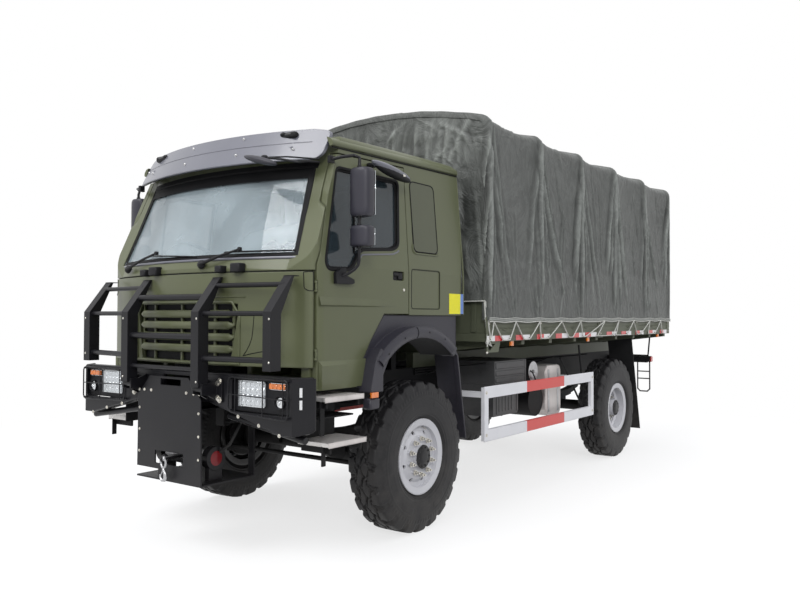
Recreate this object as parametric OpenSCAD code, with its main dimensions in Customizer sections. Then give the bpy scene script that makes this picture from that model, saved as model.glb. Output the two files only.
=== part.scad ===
// Four-wheel-drive military cargo truck: cab over engine, canvas-covered load bed.
// Millimetres. +Z is up, the truck faces -Y and its left side is +X.
// Each module works from the front axle: Y = 0 there and Z = 0 on the ground.

/* [Chassis] */
// Distance between the axles
wheelbase = 4200; // [4000:10:4400]
// Rear face of the load bed behind the rear axle
rear_overhang = 1755; // [1650:5:1850]
// Width over the outer faces of the two frame rails
frame_w = 850; // [830:5:860]
// Height of the top of the frame rails above the ground
frame_top = 1220; // [1200:5:1230]
// Depth of a frame rail
rail_h = 280; // [250:5:290]
// Width of a rail's flanges
rail_flange = 80; // [70:1:85]
// Plate thickness of the frame rails
rail_t = 8; // [6:1:12]
// Radius of the axle tubes
axle_tube_r = 62; // [50:1:66]
// Radius of the axle drive housings
diff_r = 150; // [140:1:160]
// Distance of the front drive housing to the left of the middle
diff_offset = 300; // [250:5:320]
// Width of a spring leaf
leaf_w = 90; // [70:1:100]
// Thickness of a spring leaf
leaf_t = 16; // [12:1:18]
// Distance between the eyes of a spring
spring_span = 1400; // [1300:10:1440]

/* [Wheels] */
// Diameter over the tyre lugs
tyre_d = 1188; // [1150:2:1200]
// Width of a tyre over its sidewalls
tyre_w = 312; // [300:1:330]
// Distance between the middles of the left and right tyres
track = 2020; // [2000:5:2040]
// Diameter of the rim flanges
rim_flange_d = 596; // [580:1:610]
// Width of a rim over its flanges
rim_w = 270; // [250:1:284]
// Sheet thickness of a rim
rim_t = 10; // [8:1:14]
// Number of lugs round each shoulder of a tyre
lug_count = 22; // [16:1:26]
// Width of the gap between two lugs
lug_gap = 44; // [30:1:50]
// Depth of the gap between two lugs
lug_depth = 22; // [12:1:28]
// Diameter of the wheel hub
hub_d = 190; // [170:1:200]
// Radius of the wheel spindle
spindle_r = 45; // [35:1:55]
// Distance from the truck's middle to a steering kingpin
kingpin_x = 800; // [795:1:805]
// Radius of the kingpin boss at each end of the front axle
boss_r = 66; // [60:1:70]
// Length of the steering arms, kingpin to tie rod
steer_arm = 250; // [240:1:256]
// Radius of the tie rod
tie_rod_r = 19; // [15:1:22]

/* [Cab] */
// Width of the cab at the waist
cab_w = 2276; // [2240:2:2300]
// Front face of the cab ahead of the front axle
cab_front = 1450; // [1440:1:1460]
// Rear wall of the cab behind the front axle
cab_rear = 640; // [620:1:660]
// Height of the roof at its rear edge
roof_top = 3025; // [3000:1:3040]
// Fall of the roof from its rear edge to its front edge
roof_fall = 45; // [20:1:60]
// Height of the bottom of the doors
door_low = 1190; // [1180:1:1200]
// Height of the bottom of the front panel
panel_low = 1352; // [1340:1:1360]
// Height of the seam above the front panel
seam_z = 2010; // [2000:1:2020]
// Height of the lower edge of the cab side behind the doors
sill_z = 1710; // [1706:1:1716]
// Height of the lower edge of the windscreen
screen_low = 2112; // [2100:1:2124]
// Height of the upper edge of the windscreen
screen_high = 2762; // [2740:1:2775]
// Height at which the cab sides start to lean inwards
waist_z = 2050; // [2040:1:2060]
// Lean of the cab sides between the waist and the roof
side_lean = 76; // [60:1:90]
// Thickness of the cab walls
cab_wall = 40; // [32:1:46]
// Thickness of a door
door_t = 56; // [50:1:64]
// Gap round a closed door
door_gap = 9; // [8:1:10]
// Front edge of the doors ahead of the front axle
door_front = 1212; // [1206:1:1216]
// Rear edge of the doors ahead of the front axle
door_back = 164; // [160:1:170]
// Thickness of the window glass
glass_t = 6; // [4:1:8]
// Inner radius of the flare over each front wheel
arch_r = 688; // [684:1:692]
// Width of the flare, seen from the side
flare_w = 84; // [76:1:90]

/* [Front end] */
// Front face of the bumper ahead of the front axle
bumper_front = 1475; // [1468:1:1482]
// Width of the bumper
bumper_w = 2482; // [2470:1:2494]
// Height of the top of the bumper
bumper_top = 1296; // [1290:1:1300]
// Front face of the bull bar posts ahead of the front axle
bar_front = 1640; // [1636:1:1650]
// Width of a bull bar post
post_w = 78; // [70:1:84]
// Depth of a bull bar post, front to back
post_d = 88; // [76:1:90]
// Height of the top of the bull bar
bar_top = 1966; // [1940:1:1990]
// Radius of the main bull bar tubes
bar_tube_r = 23; // [18:1:26]
// Width of the winch guard plate
guard_w = 724; // [700:2:740]
// Height of the lower edge of the winch guard plate
guard_low = 589; // [570:1:600]
// Plate thickness of the winch guard
guard_t = 12; // [8:1:16]

/* [Load bed] */
// Width of the load bed
bed_w = 2500; // [2480:2:2520]
// Front face of the load bed behind the front axle
bed_front = 857; // [845:1:870]
// Height of the underside of the bed's edge beams
bed_low = 1480; // [1476:1:1490]
// Depth of the edge beams
edge_h = 72; // [60:1:80]
// Height of the side boards
board_h = 600; // [560:5:640]
// Thickness of the side boards
board_t = 30; // [24:1:34]
// Number of canopy bows
bow_count = 6; // [5:1:7]
// Thickness of the bow tubes
bow_t = 32; // [26:1:36]
// Height of the crown of the canopy
canopy_top = 3640; // [3600:5:3660]
// Height at which the canopy sides meet its roof
eaves_z = 3440; // [3400:5:3460]
// Height of the lower hem of the canopy sides
hem_z = 1672; // [1660:1:1690]
// Thickness of the canopy as a solid
canvas_t = 10; // [8:1:12]

/* [Underside] */
// Outer face of the side guards from the truck's middle
guard_x = 1234; // [1225:1:1240]
// Height of the upper edge of the side guards
side_guard_top = 1081; // [1070:1:1090]
// Height of the lower edge of the side guards
side_guard_low = 614; // [600:1:630]
// Depth of a side guard rail
guard_rail_h = 96; // [80:1:100]
// Front end of the side guards behind the front axle
guard_front = 833; // [826:1:840]
// Rear end of the side guards ahead of the rear axle
guard_back = 950; // [930:1:960]
// Front face of the battery box behind the front axle
battery_y = 1322; // [1315:1:1330]
// Front face of the fuel tank behind the front axle
tank_y = 2385; // [2375:1:2395]
// Length of the fuel tank along the truck
tank_l = 370; // [340:1:380]
// Outer ends of the tanks and boxes from the truck's middle
tank_x = 1062; // [1050:1:1075]

/* [Hidden] */
$fn = 64;

// Clearances: beside a fixed piece, at a running pin, and past a moving piece
seat_gap = 0.3;
pin_gap = 0.3;
move_gap = 6;
// Overshoot of a cut past the face it leaves
over = 1;
far = 4000;

// The whole truck is centred on its own length
overall_len = bar_front + wheelbase + rear_overhang;
front_axle_y = bar_front - overall_len / 2;
axle_z = tyre_d / 2;
bed_rear = wheelbase + rear_overhang;

// Vehicle colours
olive = [0.33, 0.34, 0.22];
charcoal = [0.17, 0.17, 0.19];
visor_grey = [0.38, 0.37, 0.41];
canvas_green = [0.31, 0.33, 0.29];
rubber = [0.09, 0.09, 0.10];
rim_silver = [0.78, 0.78, 0.80];

// Shared shapes

// Everything stands in the truck's own frame
module placed() translate([0, front_axle_y, 0]) children();

module both_sides() {
    children();
    mirror([1, 0, 0]) children();
}

// A box between two corners
module block(lo, hi) translate(lo) cube(hi - lo);

// An outline drawn as (Y, Z), thickened from x towards +X
module side_plate(x, t) translate([x, 0, 0]) rotate([90, 0, 90]) linear_extrude(t) children();

// An outline drawn as (X, Z), thickened from y towards +Y
module front_plate(y, t) translate([0, y + t, 0]) rotate([90, 0, 0]) linear_extrude(t) children();

// A rectangle with round corners, between two corners
module round_rect(lo, hi, r) {
    translate([lo[0] + r, lo[1]]) square([hi[0] - lo[0] - 2 * r, hi[1] - lo[1]]);
    translate([lo[0], lo[1] + r]) square([hi[0] - lo[0], hi[1] - lo[1] - 2 * r]);
    for (x = [lo[0] + r, hi[0] - r], y = [lo[1] + r, hi[1] - r]) translate([x, y]) circle(r);
}

// A straight round bar between two points
module bar(a, b, r) {
    d = b - a;
    len = norm(d);
    translate(a) rotate([0, acos(d[2] / len), atan2(d[1], d[0])]) cylinder(h = len, r = r);
}

// A round bar along X
module x_bar(x0, x1, y, z, r) translate([x0, y, z]) rotate([0, 90, 0]) cylinder(h = x1 - x0, r = r);

// A round bar along Y
module y_bar(y0, y1, x, z, r) translate([x, y0, z]) rotate([-90, 0, 0]) cylinder(h = y1 - y0, r = r);

// Chassis

rail_low = frame_top - rail_h;
rail_front = -bumper_front + 140;
rail_rear = bed_rear - 150;
// Cross members of the frame: [Y of the middle, half length along Y]
cross_members = [[rail_front + 60, 50], [1180, 45], [2250, 45], [wheelbase - 820, 45],
                 [wheelbase + 820, 45]];
// Front and rear mounts of the cab on the frame
cab_mounts = [-1080, cab_rear - 50];
tow_pin_r = 22;
tow_z = frame_top - rail_h / 2;

module rail() {
    x = frame_w / 2;
    difference() {
        block([x - rail_flange, rail_front, rail_low], [x, rail_rear, frame_top]);
        block([x - rail_flange - over, rail_front - over, rail_low + rail_t],
              [x - rail_t, rail_rear + over, frame_top - rail_t]);
    }
}

module tow_jaw() {
    jaw_w = 110;
    jaw_l = 92;
    jaw_t = 24;
    mouth = 60;
    y = rail_rear;
    difference() {
        for (s = [-1, 1])
            translate([0, 0, tow_z + s * (mouth + jaw_t) / 2])
                block([-jaw_w / 2, y - over, -jaw_t / 2], [jaw_w / 2, y + jaw_l, jaw_t / 2]);
        translate([0, y + jaw_l - 40, tow_z - far / 2]) cylinder(h = far, r = tow_pin_r);
    }
}

module chassis_frame() color(charcoal) placed() {
    both_sides() rail();
    // Members riveted into the rails' channels
    member = frame_w / 2 - rail_t - seat_gap;
    member_top = frame_top - rail_t - seat_gap;
    for (m = cross_members)
        block([-member, m[0] - m[1], frame_top - 100], [member, m[0] + m[1], member_top]);
    // Rear cross member, full depth, with the towing jaw
    block([-member, rail_rear - 60, rail_low + 20], [member, rail_rear, member_top]);
    tow_jaw();
    // Cab mounts: towers on the rails and a cross tube between the rear pair
    both_sides() for (y = cab_mounts)
        block([frame_w / 2 - rail_flange, y - 35, frame_top + seat_gap], [frame_w / 2, y + 35, sill_z - seat_gap]);
    x_bar(-frame_w / 2 + 10, frame_w / 2 - 10, cab_mounts[1], sill_z - 60, 30);
}

// Axles, springs and drive

spring_x = frame_w / 2 - rail_flange / 2;
pad_h = axle_tube_r + 28;
leaf_stack = 5;
stack_h = leaf_stack * leaf_t;
pad_z = axle_z + pad_h;
eye_z = pad_z + stack_h + 70;
spring_half = spring_span / 2;

module axle_beam(half_len) {
    x_bar(-half_len, half_len, 0, axle_z, axle_tube_r);
    both_sides() block([spring_x - leaf_w / 2, -90, axle_z - 30], [spring_x + leaf_w / 2, 90, pad_z - seat_gap]);
}

// Drive housing: one turned form from its domed cover to the pinion nose, which points along dir
module drive_housing(x, dir) translate([x, 0, axle_z]) rotate([-90 * dir, 0, 0])
    rotate_extrude() polygon([
        [0, -diff_r + 30], [0.5 * diff_r, -diff_r + 36], [0.86 * diff_r, -0.5 * diff_r], [diff_r, -over],
        [diff_r - 4, 50], [0.8 * diff_r, 0.62 * diff_r], [0.5 * diff_r, diff_r], [axle_tube_r, diff_r + 20],
        [axle_tube_r - 6, pinion_nose], [0, pinion_nose]
    ]);

pinion_nose = 290;
boss_h = 150;
kingpin_r = 22;
module front_axle() color(charcoal) placed() {
    difference() {
        union() {
            axle_beam(kingpin_x);
            both_sides() translate([kingpin_x, 0, axle_z - boss_h / 2]) cylinder(h = boss_h, r = boss_r);
            difference() {
                drive_housing(diff_offset, 1);
                both_sides() block([spring_x - leaf_w / 2 - 6, -far, pad_z], [spring_x + leaf_w / 2 + 6, far, far]);
            }
        }
        both_sides() translate([kingpin_x, 0, axle_z - far / 2]) cylinder(h = far, r = kingpin_r + pin_gap);
    }
}

// Drum brake behind each wheel: radii and places along the axle, from the middle of the tyre outwards
drum_r = 205;
drum_in = 182;
drum_x0 = -110;
drum_web = -40;
plate_x = -134;
plate_t = 10;
spindle_end = 96;
wheel_x = track / 2;

module rear_axle() color(charcoal) placed() translate([0, wheelbase, 0]) {
    axle_beam(wheel_x + plate_x);
    drive_housing(0, -1);
    both_sides() {
        x_bar(wheel_x + plate_x, wheel_x + plate_x + plate_t, 0, axle_z, drum_in + 12);
        x_bar(wheel_x + plate_x, wheel_x + spindle_end, 0, axle_z, spindle_r);
    }
}

// One leaf pack, drawn as (Y, Z) about the axle: each leaf is an arc of a ring
module leaf_pack() {
    rise = eye_z - pad_z;
    bend_r = (spring_half * spring_half + rise * rise) / (2 * rise);
    for (i = [0:leaf_stack - 1]) {
        half = spring_half * (1 - 0.16 * (leaf_stack - 1 - i));
        r = bend_r - i * leaf_t;
        translate([0, pad_z + bend_r]) intersection() {
            difference() {
                circle(r, $fn = 360);
                circle(r - leaf_t, $fn = 360);
            }
            translate([-half, -bend_r]) square([2 * half, bend_r / 2]);
        }
    }
}

module spring_pair() both_sides() {
    side_plate(spring_x - leaf_w / 2, leaf_w) leaf_pack();
    for (s = [-1, 1])
        block([spring_x - leaf_w / 2 - 6, s * spring_half - 34, eye_z - 46],
              [spring_x + leaf_w / 2 + 6, s * spring_half + 34, rail_low]);
}

module leaf_springs() color(charcoal) placed() {
    spring_pair();
    translate([0, wheelbase, 0]) spring_pair();
}

engine_half_w = frame_w / 2 - rail_flange - 20;
module powertrain() color([0.2, 0.2, 0.2]) placed() {
    // Engine, clutch housing and gearbox
    engine_back = cab_mounts[1] - 50;
    block([-engine_half_w, -420, rail_low + 20], [engine_half_w, engine_back, sill_z - 60]);
    y_bar(engine_back, 900, 0, frame_top - 150, 170);
    block([-150, 900, frame_top - 300], [150, 1120, frame_top - 20]);
    // Radiator
    block([-engine_half_w, -1240, frame_top + 10], [engine_half_w, -1160, sill_z - 20]);
    block([-engine_half_w + 60, -1160, frame_top], [engine_half_w - 60, -420, frame_top + 120]);
    // Transfer case with a shaft to each axle
    shaft_r = 38;
    case_y = 1700;
    case_z = rail_low - 60;
    block([-150, case_y, case_z - 130], [200, case_y + 300, frame_top - 80]);
    y_bar(1120, case_y, 0, frame_top - 150, shaft_r);
    difference() {
        union() {
            bar([diff_offset / 2, case_y + 20, case_z], [diff_offset, pinion_nose - 20, axle_z], shaft_r);
            bar([0, case_y + 280, case_z], [0, wheelbase - pinion_nose + 20, axle_z], shaft_r);
        }
        block([-far, -far, 0], [far, pinion_nose + seat_gap, far]);
        block([-far, wheelbase - pinion_nose - seat_gap, 0], [far, 2 * far, far]);
    }
}

// Wheels

// Half of the tyre's outline as [distance from its middle along the axle, radius]
bead_r = rim_flange_d / 2 - 44;
tread_half = tyre_w / 2 - 22;
tyre_outline = [
    [rim_w / 2 - 16, bead_r], [rim_w / 2 - 16, rim_flange_d / 2 + 2],
    [tyre_w / 2 - 8, rim_flange_d / 2 + 40], [tyre_w / 2, (bead_r + axle_z) / 2 + 10],
    [tyre_w / 2 - 3, axle_z - 96], [tread_half + 10, axle_z - 30], [tread_half - 4, axle_z - 4],
    [tread_half - 26, axle_z]
];
casing_t = 34;
tyre_inside = [
    [tyre_w / 2 - casing_t - 30, axle_z - casing_t - lug_depth], [tyre_w / 2 - casing_t, axle_z - 120],
    [tyre_w / 2 - casing_t, rim_flange_d / 2 + 30], [rim_w / 2 - 60, bead_r + 14], [rim_w / 2 - 60, bead_r]
];
function reversed(list) = [for (i = [len(list) - 1:-1:0]) list[i]];
function mirrored(list) = [for (p = list) [-p[0], p[1]]];

// Turns an outline of (axle distance, radius) round the wheel's axle, which lies along X
module turned() rotate([0, 90, 0]) rotate_extrude($fn = 96) rotate(90) mirror([0, 1]) children();

module tyre() color(rubber) {
    pitch = 360 / lug_count;
    lug_l = tyre_w / 2;
    difference() {
        turned() polygon(concat(tyre_outline, reversed(mirrored(tyre_outline)),
                                mirrored(reversed(tyre_inside)), tyre_inside));
        for (side = [0, 1], i = [0:lug_count - 1])
            rotate([(i + side / 2) * pitch + pitch / 2, 0, 0]) mirror([side, 0, 0])
                translate([34, -lug_gap / 2, axle_z - lug_depth]) cube([lug_l, lug_gap, 2 * lug_depth]);
    }
}

// Rim, disc, hub and drum; disc_x is the disc's outer face, dish is negative on the deep rear wheels
well_r = bead_r - 22;
module rim(disc_x, hub_out) color(rim_silver) {
    half = rim_w / 2;
    flange_r = rim_flange_d / 2;
    seat_r = bead_r - seat_gap;
    // The disc meets the barrel in the well or, further out, under the bead seat
    disc_r = (disc_x > 60 ? seat_r : well_r) - rim_t + 2;
    difference() {
        union() {
            turned() polygon([
                [-half, flange_r], [-half + rim_t, flange_r], [-half + rim_t + 4, seat_r],
                [-60, seat_r], [-44, well_r], [24, well_r], [40, seat_r],
                [half - rim_t - 4, seat_r], [half - rim_t, flange_r], [half, flange_r],
                [half, flange_r - 14], [half - 8, seat_r - rim_t], [44, seat_r - rim_t],
                [28, well_r - rim_t], [-48, well_r - rim_t], [-64, seat_r - rim_t],
                [-half + 8, seat_r - rim_t], [-half, flange_r - 14]
            ]);
            // Dished disc between the rim well and the hub
            turned() polygon([
                [disc_x - 14, hub_d / 2 - 12], [disc_x, hub_d / 2 - 12], [disc_x, 172],
                [disc_x - 22, 206], [disc_x - 22, disc_r],
                [disc_x - 36, disc_r], [disc_x - 36, 200], [disc_x - 14, 166]
            ]);
            x_bar(drum_web, hub_out, 0, 0, hub_d / 2);
            turned() polygon([[drum_x0, drum_in], [drum_x0, drum_r], [drum_web + 15, drum_r],
                              [drum_web + 15, 60], [drum_web, 60], [drum_web, drum_in]]);
            // Wheel nuts
            for (i = [0:9]) rotate([36 * i, 0, 0])
                x_bar(disc_x - 2, disc_x + 20, 0, 142, 15);
        }
        // Bore that runs on the spindle
        x_bar(drum_web - over, spindle_end + 8, 0, 0, spindle_r + pin_gap);
        // Hand holes
        for (i = [0:7]) rotate([45 * i + 18, 0, 0]) x_bar(disc_x - 60, disc_x + 60, 0, 196, 16);
    }
}

front_disc = 112;
rear_disc = -2;
module at_wheel(y, side) placed() translate([side * wheel_x, y, axle_z]) mirror([side < 0 ? 1 : 0, 0, 0]) children();

module tyre_front_left() at_wheel(0, 1) tyre();
module tyre_front_right() at_wheel(0, -1) tyre();
module tyre_rear_left() at_wheel(wheelbase, 1) tyre();
module tyre_rear_right() at_wheel(wheelbase, -1) tyre();
module rim_front_left() at_wheel(0, 1) rim(front_disc, 152);
module rim_front_right() at_wheel(0, -1) rim(front_disc, 152);
module rim_rear_left() at_wheel(wheelbase, 1) rim(rear_disc, 116);
module rim_rear_right() at_wheel(wheelbase, -1) rim(rear_disc, 116);

// Steering

ear_t = 30;
web_in = boss_r + 9;
web_t = 30;
ear_gap = 1;
arm_z = axle_z - 70;
eye_r = 32;
eye_h = 44;
arm_t = 24;
rod_pin_r = 13;

module knuckle() color(charcoal) {
    // Two ears on the kingpin, above and below the axle's boss, joined by a web outside it
    for (s = [0, 1]) translate([kingpin_x, 0, axle_z]) mirror([0, 0, s])
        translate([0, 0, boss_h / 2 + ear_gap]) {
            cylinder(h = ear_t, r = boss_r - 4);
            translate([0, 4 - boss_r, 0]) cube([web_in + web_t, 2 * (boss_r - 4), ear_t]);
        }
    block([kingpin_x + web_in, 4 - boss_r, axle_z - boss_h / 2 - ear_gap],
          [kingpin_x + web_in + web_t, boss_r - 4, axle_z + boss_h / 2 + ear_gap]);
    translate([kingpin_x, 0, axle_z - boss_h / 2 - ear_t]) cylinder(h = boss_h + 2 * ear_t, r = kingpin_r);
    x_bar(kingpin_x + web_in + web_t - over, wheel_x + spindle_end, 0, axle_z, spindle_r);
    x_bar(wheel_x + plate_x, wheel_x + plate_x + plate_t, 0, axle_z, drum_in + 12);
    // Steering arm, forward to the tie rod, and the pin on its end
    block([kingpin_x - eye_r, -steer_arm, arm_z - eye_h / 2 - arm_t],
          [kingpin_x + eye_r, 0, arm_z - eye_h / 2]);
    translate([kingpin_x, -steer_arm, arm_z - eye_h / 2 - arm_t]) cylinder(h = arm_t, r = eye_r);
    translate([kingpin_x, -steer_arm, arm_z - eye_h / 2 - arm_t]) cylinder(h = arm_t + eye_h, r = rod_pin_r);
}

module knuckle_left() placed() knuckle();
// The right knuckle's arm also points forward, so both arms stay parallel
module knuckle_right() placed() mirror([1, 0, 0]) knuckle();

module tie_rod() color(charcoal) placed() {
    difference() {
        union() {
            x_bar(-kingpin_x, kingpin_x, -steer_arm, arm_z, tie_rod_r);
            both_sides() translate([kingpin_x, -steer_arm, arm_z - eye_h / 2 + seat_gap])
                cylinder(h = eye_h - 2 * seat_gap, r = eye_r);
        }
        both_sides() translate([kingpin_x, -steer_arm, arm_z - eye_h])
            cylinder(h = 2 * eye_h, r = rod_pin_r + pin_gap);
    }
}

// Front end

bumper_corner = 1162;
bumper_end_y = -1345;
bumper_wall = 30;
low_tube_y = -bumper_front + 110;
// Lamp recess in each half of the bumper: [inner X, outer X, lower Z, upper Z]
recess = [594, 1140, 1051, 1272];

// Plan of the bumper, shrunk by d all round except at the back
module bumper_plan(d) {
    half = bumper_w / 2;
    polygon([
        [-half + d, rail_front], [-half + d, bumper_end_y + d / 2], [-bumper_corner + d / 2, -bumper_front + d],
        [bumper_corner - d / 2, -bumper_front + d], [half - d, bumper_end_y + d / 2], [half - d, rail_front]
    ]);
}

// Front view of the bumper: its lower edge drops towards the ends
module bumper_face(d) {
    half = bumper_w / 2;
    polygon([
        [-half, bumper_top - d], [half, bumper_top - d], [half, 960 + d], [half - 60, 928 + d],
        [1050, 928 + d], [guard_w / 2, 1098 + d], [-guard_w / 2, 1098 + d], [-1050, 928 + d],
        [-half + 60, 928 + d], [-half, 960 + d]
    ]);
}

module front_bumper() color(charcoal) placed() {
    // Front wall with the lamp recesses and the window above the winch guard
    difference() {
        intersection() {
            translate([0, 0, bumper_top - 500]) linear_extrude(600) difference() {
                bumper_plan(0);
                translate([0, over]) bumper_plan(bumper_wall);
            }
            front_plate(-bumper_front - over, 400) bumper_face(0);
        }
        both_sides() front_plate(-bumper_front - over, bumper_wall + 20)
            round_rect([recess[0], recess[2]], [recess[1], recess[3]], 20);
        front_plate(-bumper_front - over, bumper_wall + 20) round_rect([-150, 1190], [150, 1270], 10);
    }
    // Upper and lower edges, folded back
    intersection() {
        translate([0, 0, bumper_top - 500]) linear_extrude(600) bumper_plan(2);
        front_plate(-bumper_front - over, 400) difference() {
            bumper_face(0);
            bumper_face(10);
        }
    }
    // Tube below each half on two struts
    both_sides() {
        bar([452, low_tube_y, 1000], [1180, low_tube_y, 889], 24);
        for (s = [[560, 978, 1056], [1000, 911, 948]])
            block([s[0] - 10, low_tube_y - 12, s[1]], [s[0] + 10, low_tube_y + 12, s[2]]);
    }
    // Brackets to the frame rails
    both_sides() block([frame_w / 2 - rail_flange, -bumper_front + bumper_wall - over, rail_low + 200],
                       [frame_w / 2, rail_front, bumper_top - bumper_wall - 20]);
}

guard_y = -bumper_front - 70;
tray_low = guard_low - 78;
winch_y = -bumper_front + 130;
winch_z = guard_low + 90;

module winch_guard() color(charcoal) placed() {
    half = guard_w / 2;
    front_plate(guard_y, guard_t) difference() {
        polygon([[-half, guard_low], [half, guard_low], [half - 6, 1116], [218, 1262], [-218, 1262], [-half + 6, 1116]]);
        round_rect([-150, guard_low + 40], [170, guard_low + 134], 8);
        round_rect([-92, 1200], [138, 1246], 6);
    }
    // Spacers to the bumper, tray below the winch and its rear hangers
    both_sides() block([190, guard_y + guard_t - over, 1120], [230, -bumper_front - seat_gap, 1180]);
    block([-110, guard_y, tray_low], [half, guard_y + guard_t, guard_low + over]);
    block([-half, guard_y + guard_t - over, tray_low], [half, -1040, tray_low + guard_t]);
    block([-half, guard_y, tray_low], [-110 + over, guard_y + guard_t, tray_low + guard_t]);
    both_sides() block([half - 60, -1052, tray_low + guard_t - over], [half, -1040, rail_low - seat_gap]);
}

module winch() placed() {
    drum_half = 230;
    flange_half = 290;
    color("silver") x_bar(-drum_half, drum_half, winch_y, winch_z, 62);
    color([0.55, 0.05, 0.07]) both_sides() x_bar(drum_half - over, flange_half, winch_y, winch_z, 86);
    color(charcoal) both_sides()
        block([drum_half + 8, winch_y - 60, tray_low + guard_t], [flange_half - 8, winch_y + 60, winch_z]);
    // Rope end and hook at the slot of the guard
    color("silver") {
        y_bar(guard_y - 30, winch_y, 10, winch_z, 9);
        translate([10, guard_y - 34, winch_z]) rotate([90, 0, 90]) rotate_extrude($fn = 48)
            translate([26, 0]) circle(9);
    }
}

// Bull bar: path of a post as (Y, Z), front face first
bar_bend = 1728;
bar_lean = 188;
post_low = 1213;
wing_low = 1343;
wing_back = 78;
wing_x = 1018;
inner_x = 400;
// Depth of a post at its tip, which keeps clear of the front panel
post_tip = 22;
module post_side(low, d) {
    f = -bar_front + d;
    polygon([
        [f, low], [f, bar_bend], [f + bar_lean, bar_top], [f + bar_lean + post_tip, bar_top],
        [f + post_d, bar_bend - 16], [f + post_d, low]
    ]);
}

// Middle of a post at height z
function post_y(z) = -bar_front + post_d / 2 + (bar_lean + (post_tip - post_d) / 2)
    * max(0, z - bar_bend) / (bar_top - bar_bend);

// Cross tubes: [height, radius]
centre_tubes = [[bar_top - 135, bar_tube_r], [1555, bar_tube_r], [1331, 15]];
wing_tubes = [[bar_top - 56, 17], [bar_bend - 12, 17], [1410, 20]];

module bull_bar() color(charcoal) placed() {
    both_sides() {
        side_plate(inner_x - post_w / 2, post_w) post_side(post_low, 0);
        side_plate(wing_x - post_w / 2, post_w) post_side(wing_low, wing_back);
        for (t = wing_tubes)
            bar([inner_x, post_y(t[0]), t[0]], [wing_x, post_y(t[0]) + wing_back, t[0]], t[1]);
        // Pivot bracket: two cheeks, a pin and the bolted plate on the bumper
        for (s = [-1, 1])
            side_plate(inner_x + s * (post_w / 2 + 7) - 7, 14) polygon([
                [-bumper_front - seat_gap, 1110], [-bumper_front - seat_gap, 1262],
                [-bar_front + post_d, 1236], [-bar_front + 24, 1236], [-bar_front + 24, 1164],
                [-bar_front + post_d, 1150]
            ]);
        x_bar(inner_x - post_w / 2 - 10, inner_x + post_w / 2 + 10, post_y(post_low), 1200, 22);
        block([inner_x - post_w / 2 - 13, -bumper_front - 14, 1110],
              [inner_x + post_w / 2 + 70, -bumper_front - seat_gap, 1262]);
    }
    for (t = centre_tubes) x_bar(-inner_x, inner_x, post_y(t[0]), t[0], t[1]);
}

// Lamp unit in each recess, with the headlamp, indicator and fog lamp on its back plate
module headlamps() color([0.8, 0.82, 0.85]) placed() both_sides() {
    y0 = -bumper_front + 6;
    plate_y = -bumper_front + bumper_wall + over + seat_gap;
    front_plate(plate_y, 10) round_rect([recess[0] - 10, recess[2] + 4], [recess[1] + 2, recess[3] - 8], 6);
    front_plate(y0, plate_y - y0 + over) round_rect([668, 1094], [912, 1266], 18);
    front_plate(y0, plate_y - y0 + over) round_rect([948, 1218], [1100, 1262], 8);
    y_bar(y0, plate_y + over, 1050, 1136, 44);
}

// Amber side markers: [X of the inner face, Y, Z], and black roof lamps on the visor
marker = [16, 56, 46];
bed_marker_y = [1325, 3088, bed_rear - 508];
module marker_lamps() placed() {
    color([0.95, 0.45, 0.05]) both_sides() {
        for (y = bed_marker_y)
            block([bed_w / 2 - 24, y - marker[1] / 2, bed_low - seat_gap - marker[2]],
                  [bed_w / 2 - 24 + marker[0], y + marker[1] / 2, bed_low - seat_gap]);
        block([flare_x - 4, flare_foot[0] - 2, flare_foot[1] - 38], [flare_x + marker[0] / 2, flare_foot[0] + 76, flare_foot[1] - seat_gap]);
    }
}

// Cab

// The front is part of a large cylinder, upright below the seam and leaning back above it
front_r = 3000;
screen_foot = [-cab_front + 30, screen_low];
screen_lean = 22.6;
half_w = cab_w / 2;
corner_r = 120;
rear_corner_r = 60;
// Pillars beside the windscreen: where they start, how far back, and their slope
pillar_x = 930;
pillar_sag = front_r - sqrt(front_r * front_r - pillar_x * pillar_x);
pillar_fall = 0.09;
roof_r = 110;

// Centre of the arc at each front corner, which runs tangent into the front and the side
corner_c = [half_w - corner_r,
            -cab_front + front_r - sqrt(pow(front_r - corner_r, 2) - pow(half_w - corner_r, 2))];

// Plan of the cab, shrunk by d all round
module cab_plan(d) {
    edge = corner_c[0] * (front_r - d) / (front_r - corner_r);
    intersection() {
        translate([0, -cab_front + front_r]) circle(front_r - d, $fn = 360);
        translate([-edge, -far]) square([2 * edge, far]);
    }
    for (s = [-1, 1]) translate([s * corner_c[0], corner_c[1]]) circle(corner_r - d);
    translate([-half_w + d, corner_c[1]]) square([2 * (half_w - d), -corner_c[1]]);
    round_rect([-half_w + d, corner_c[1] / 2], [half_w - d, cab_rear - d], rear_corner_r);
}

// Front view of the cab, with the sides leaning in above the waist
module cab_front_view(d) {
    top = roof_top - d;
    lean = side_lean;
    w = half_w - d;
    polygon([[-w, 0], [w, 0], [w, waist_z], [w - lean, top - roof_r], [w - lean - roof_r, top],
             [-w + lean + roof_r, top], [-w + lean, top - roof_r], [-w, waist_z]]);
    for (s = [-1, 1]) translate([s * (w - lean - roof_r), top - roof_r]) circle(roof_r);
}

// Space in front of the leaning windscreen, taken off the upper cab
module screen_space(d) {
    translate([0, screen_foot[0], screen_foot[1]]) rotate([-screen_lean, 0, 0]) translate([0, 0, -180])
        linear_extrude(1400) difference() {
            translate([-1500, -400]) square([3000, 1000]);
            translate([0, front_r]) circle(front_r - d, $fn = 360);
            // Beyond the glass the pillars stand a little ahead of the arc
            for (s = [-1, 1]) polygon([
                [s * pillar_x, pillar_sag + d], [s * far, pillar_sag + d + pillar_fall * (far - pillar_x)],
                [s * far, far], [s * pillar_x, far]
            ]);
        }
}

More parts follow.
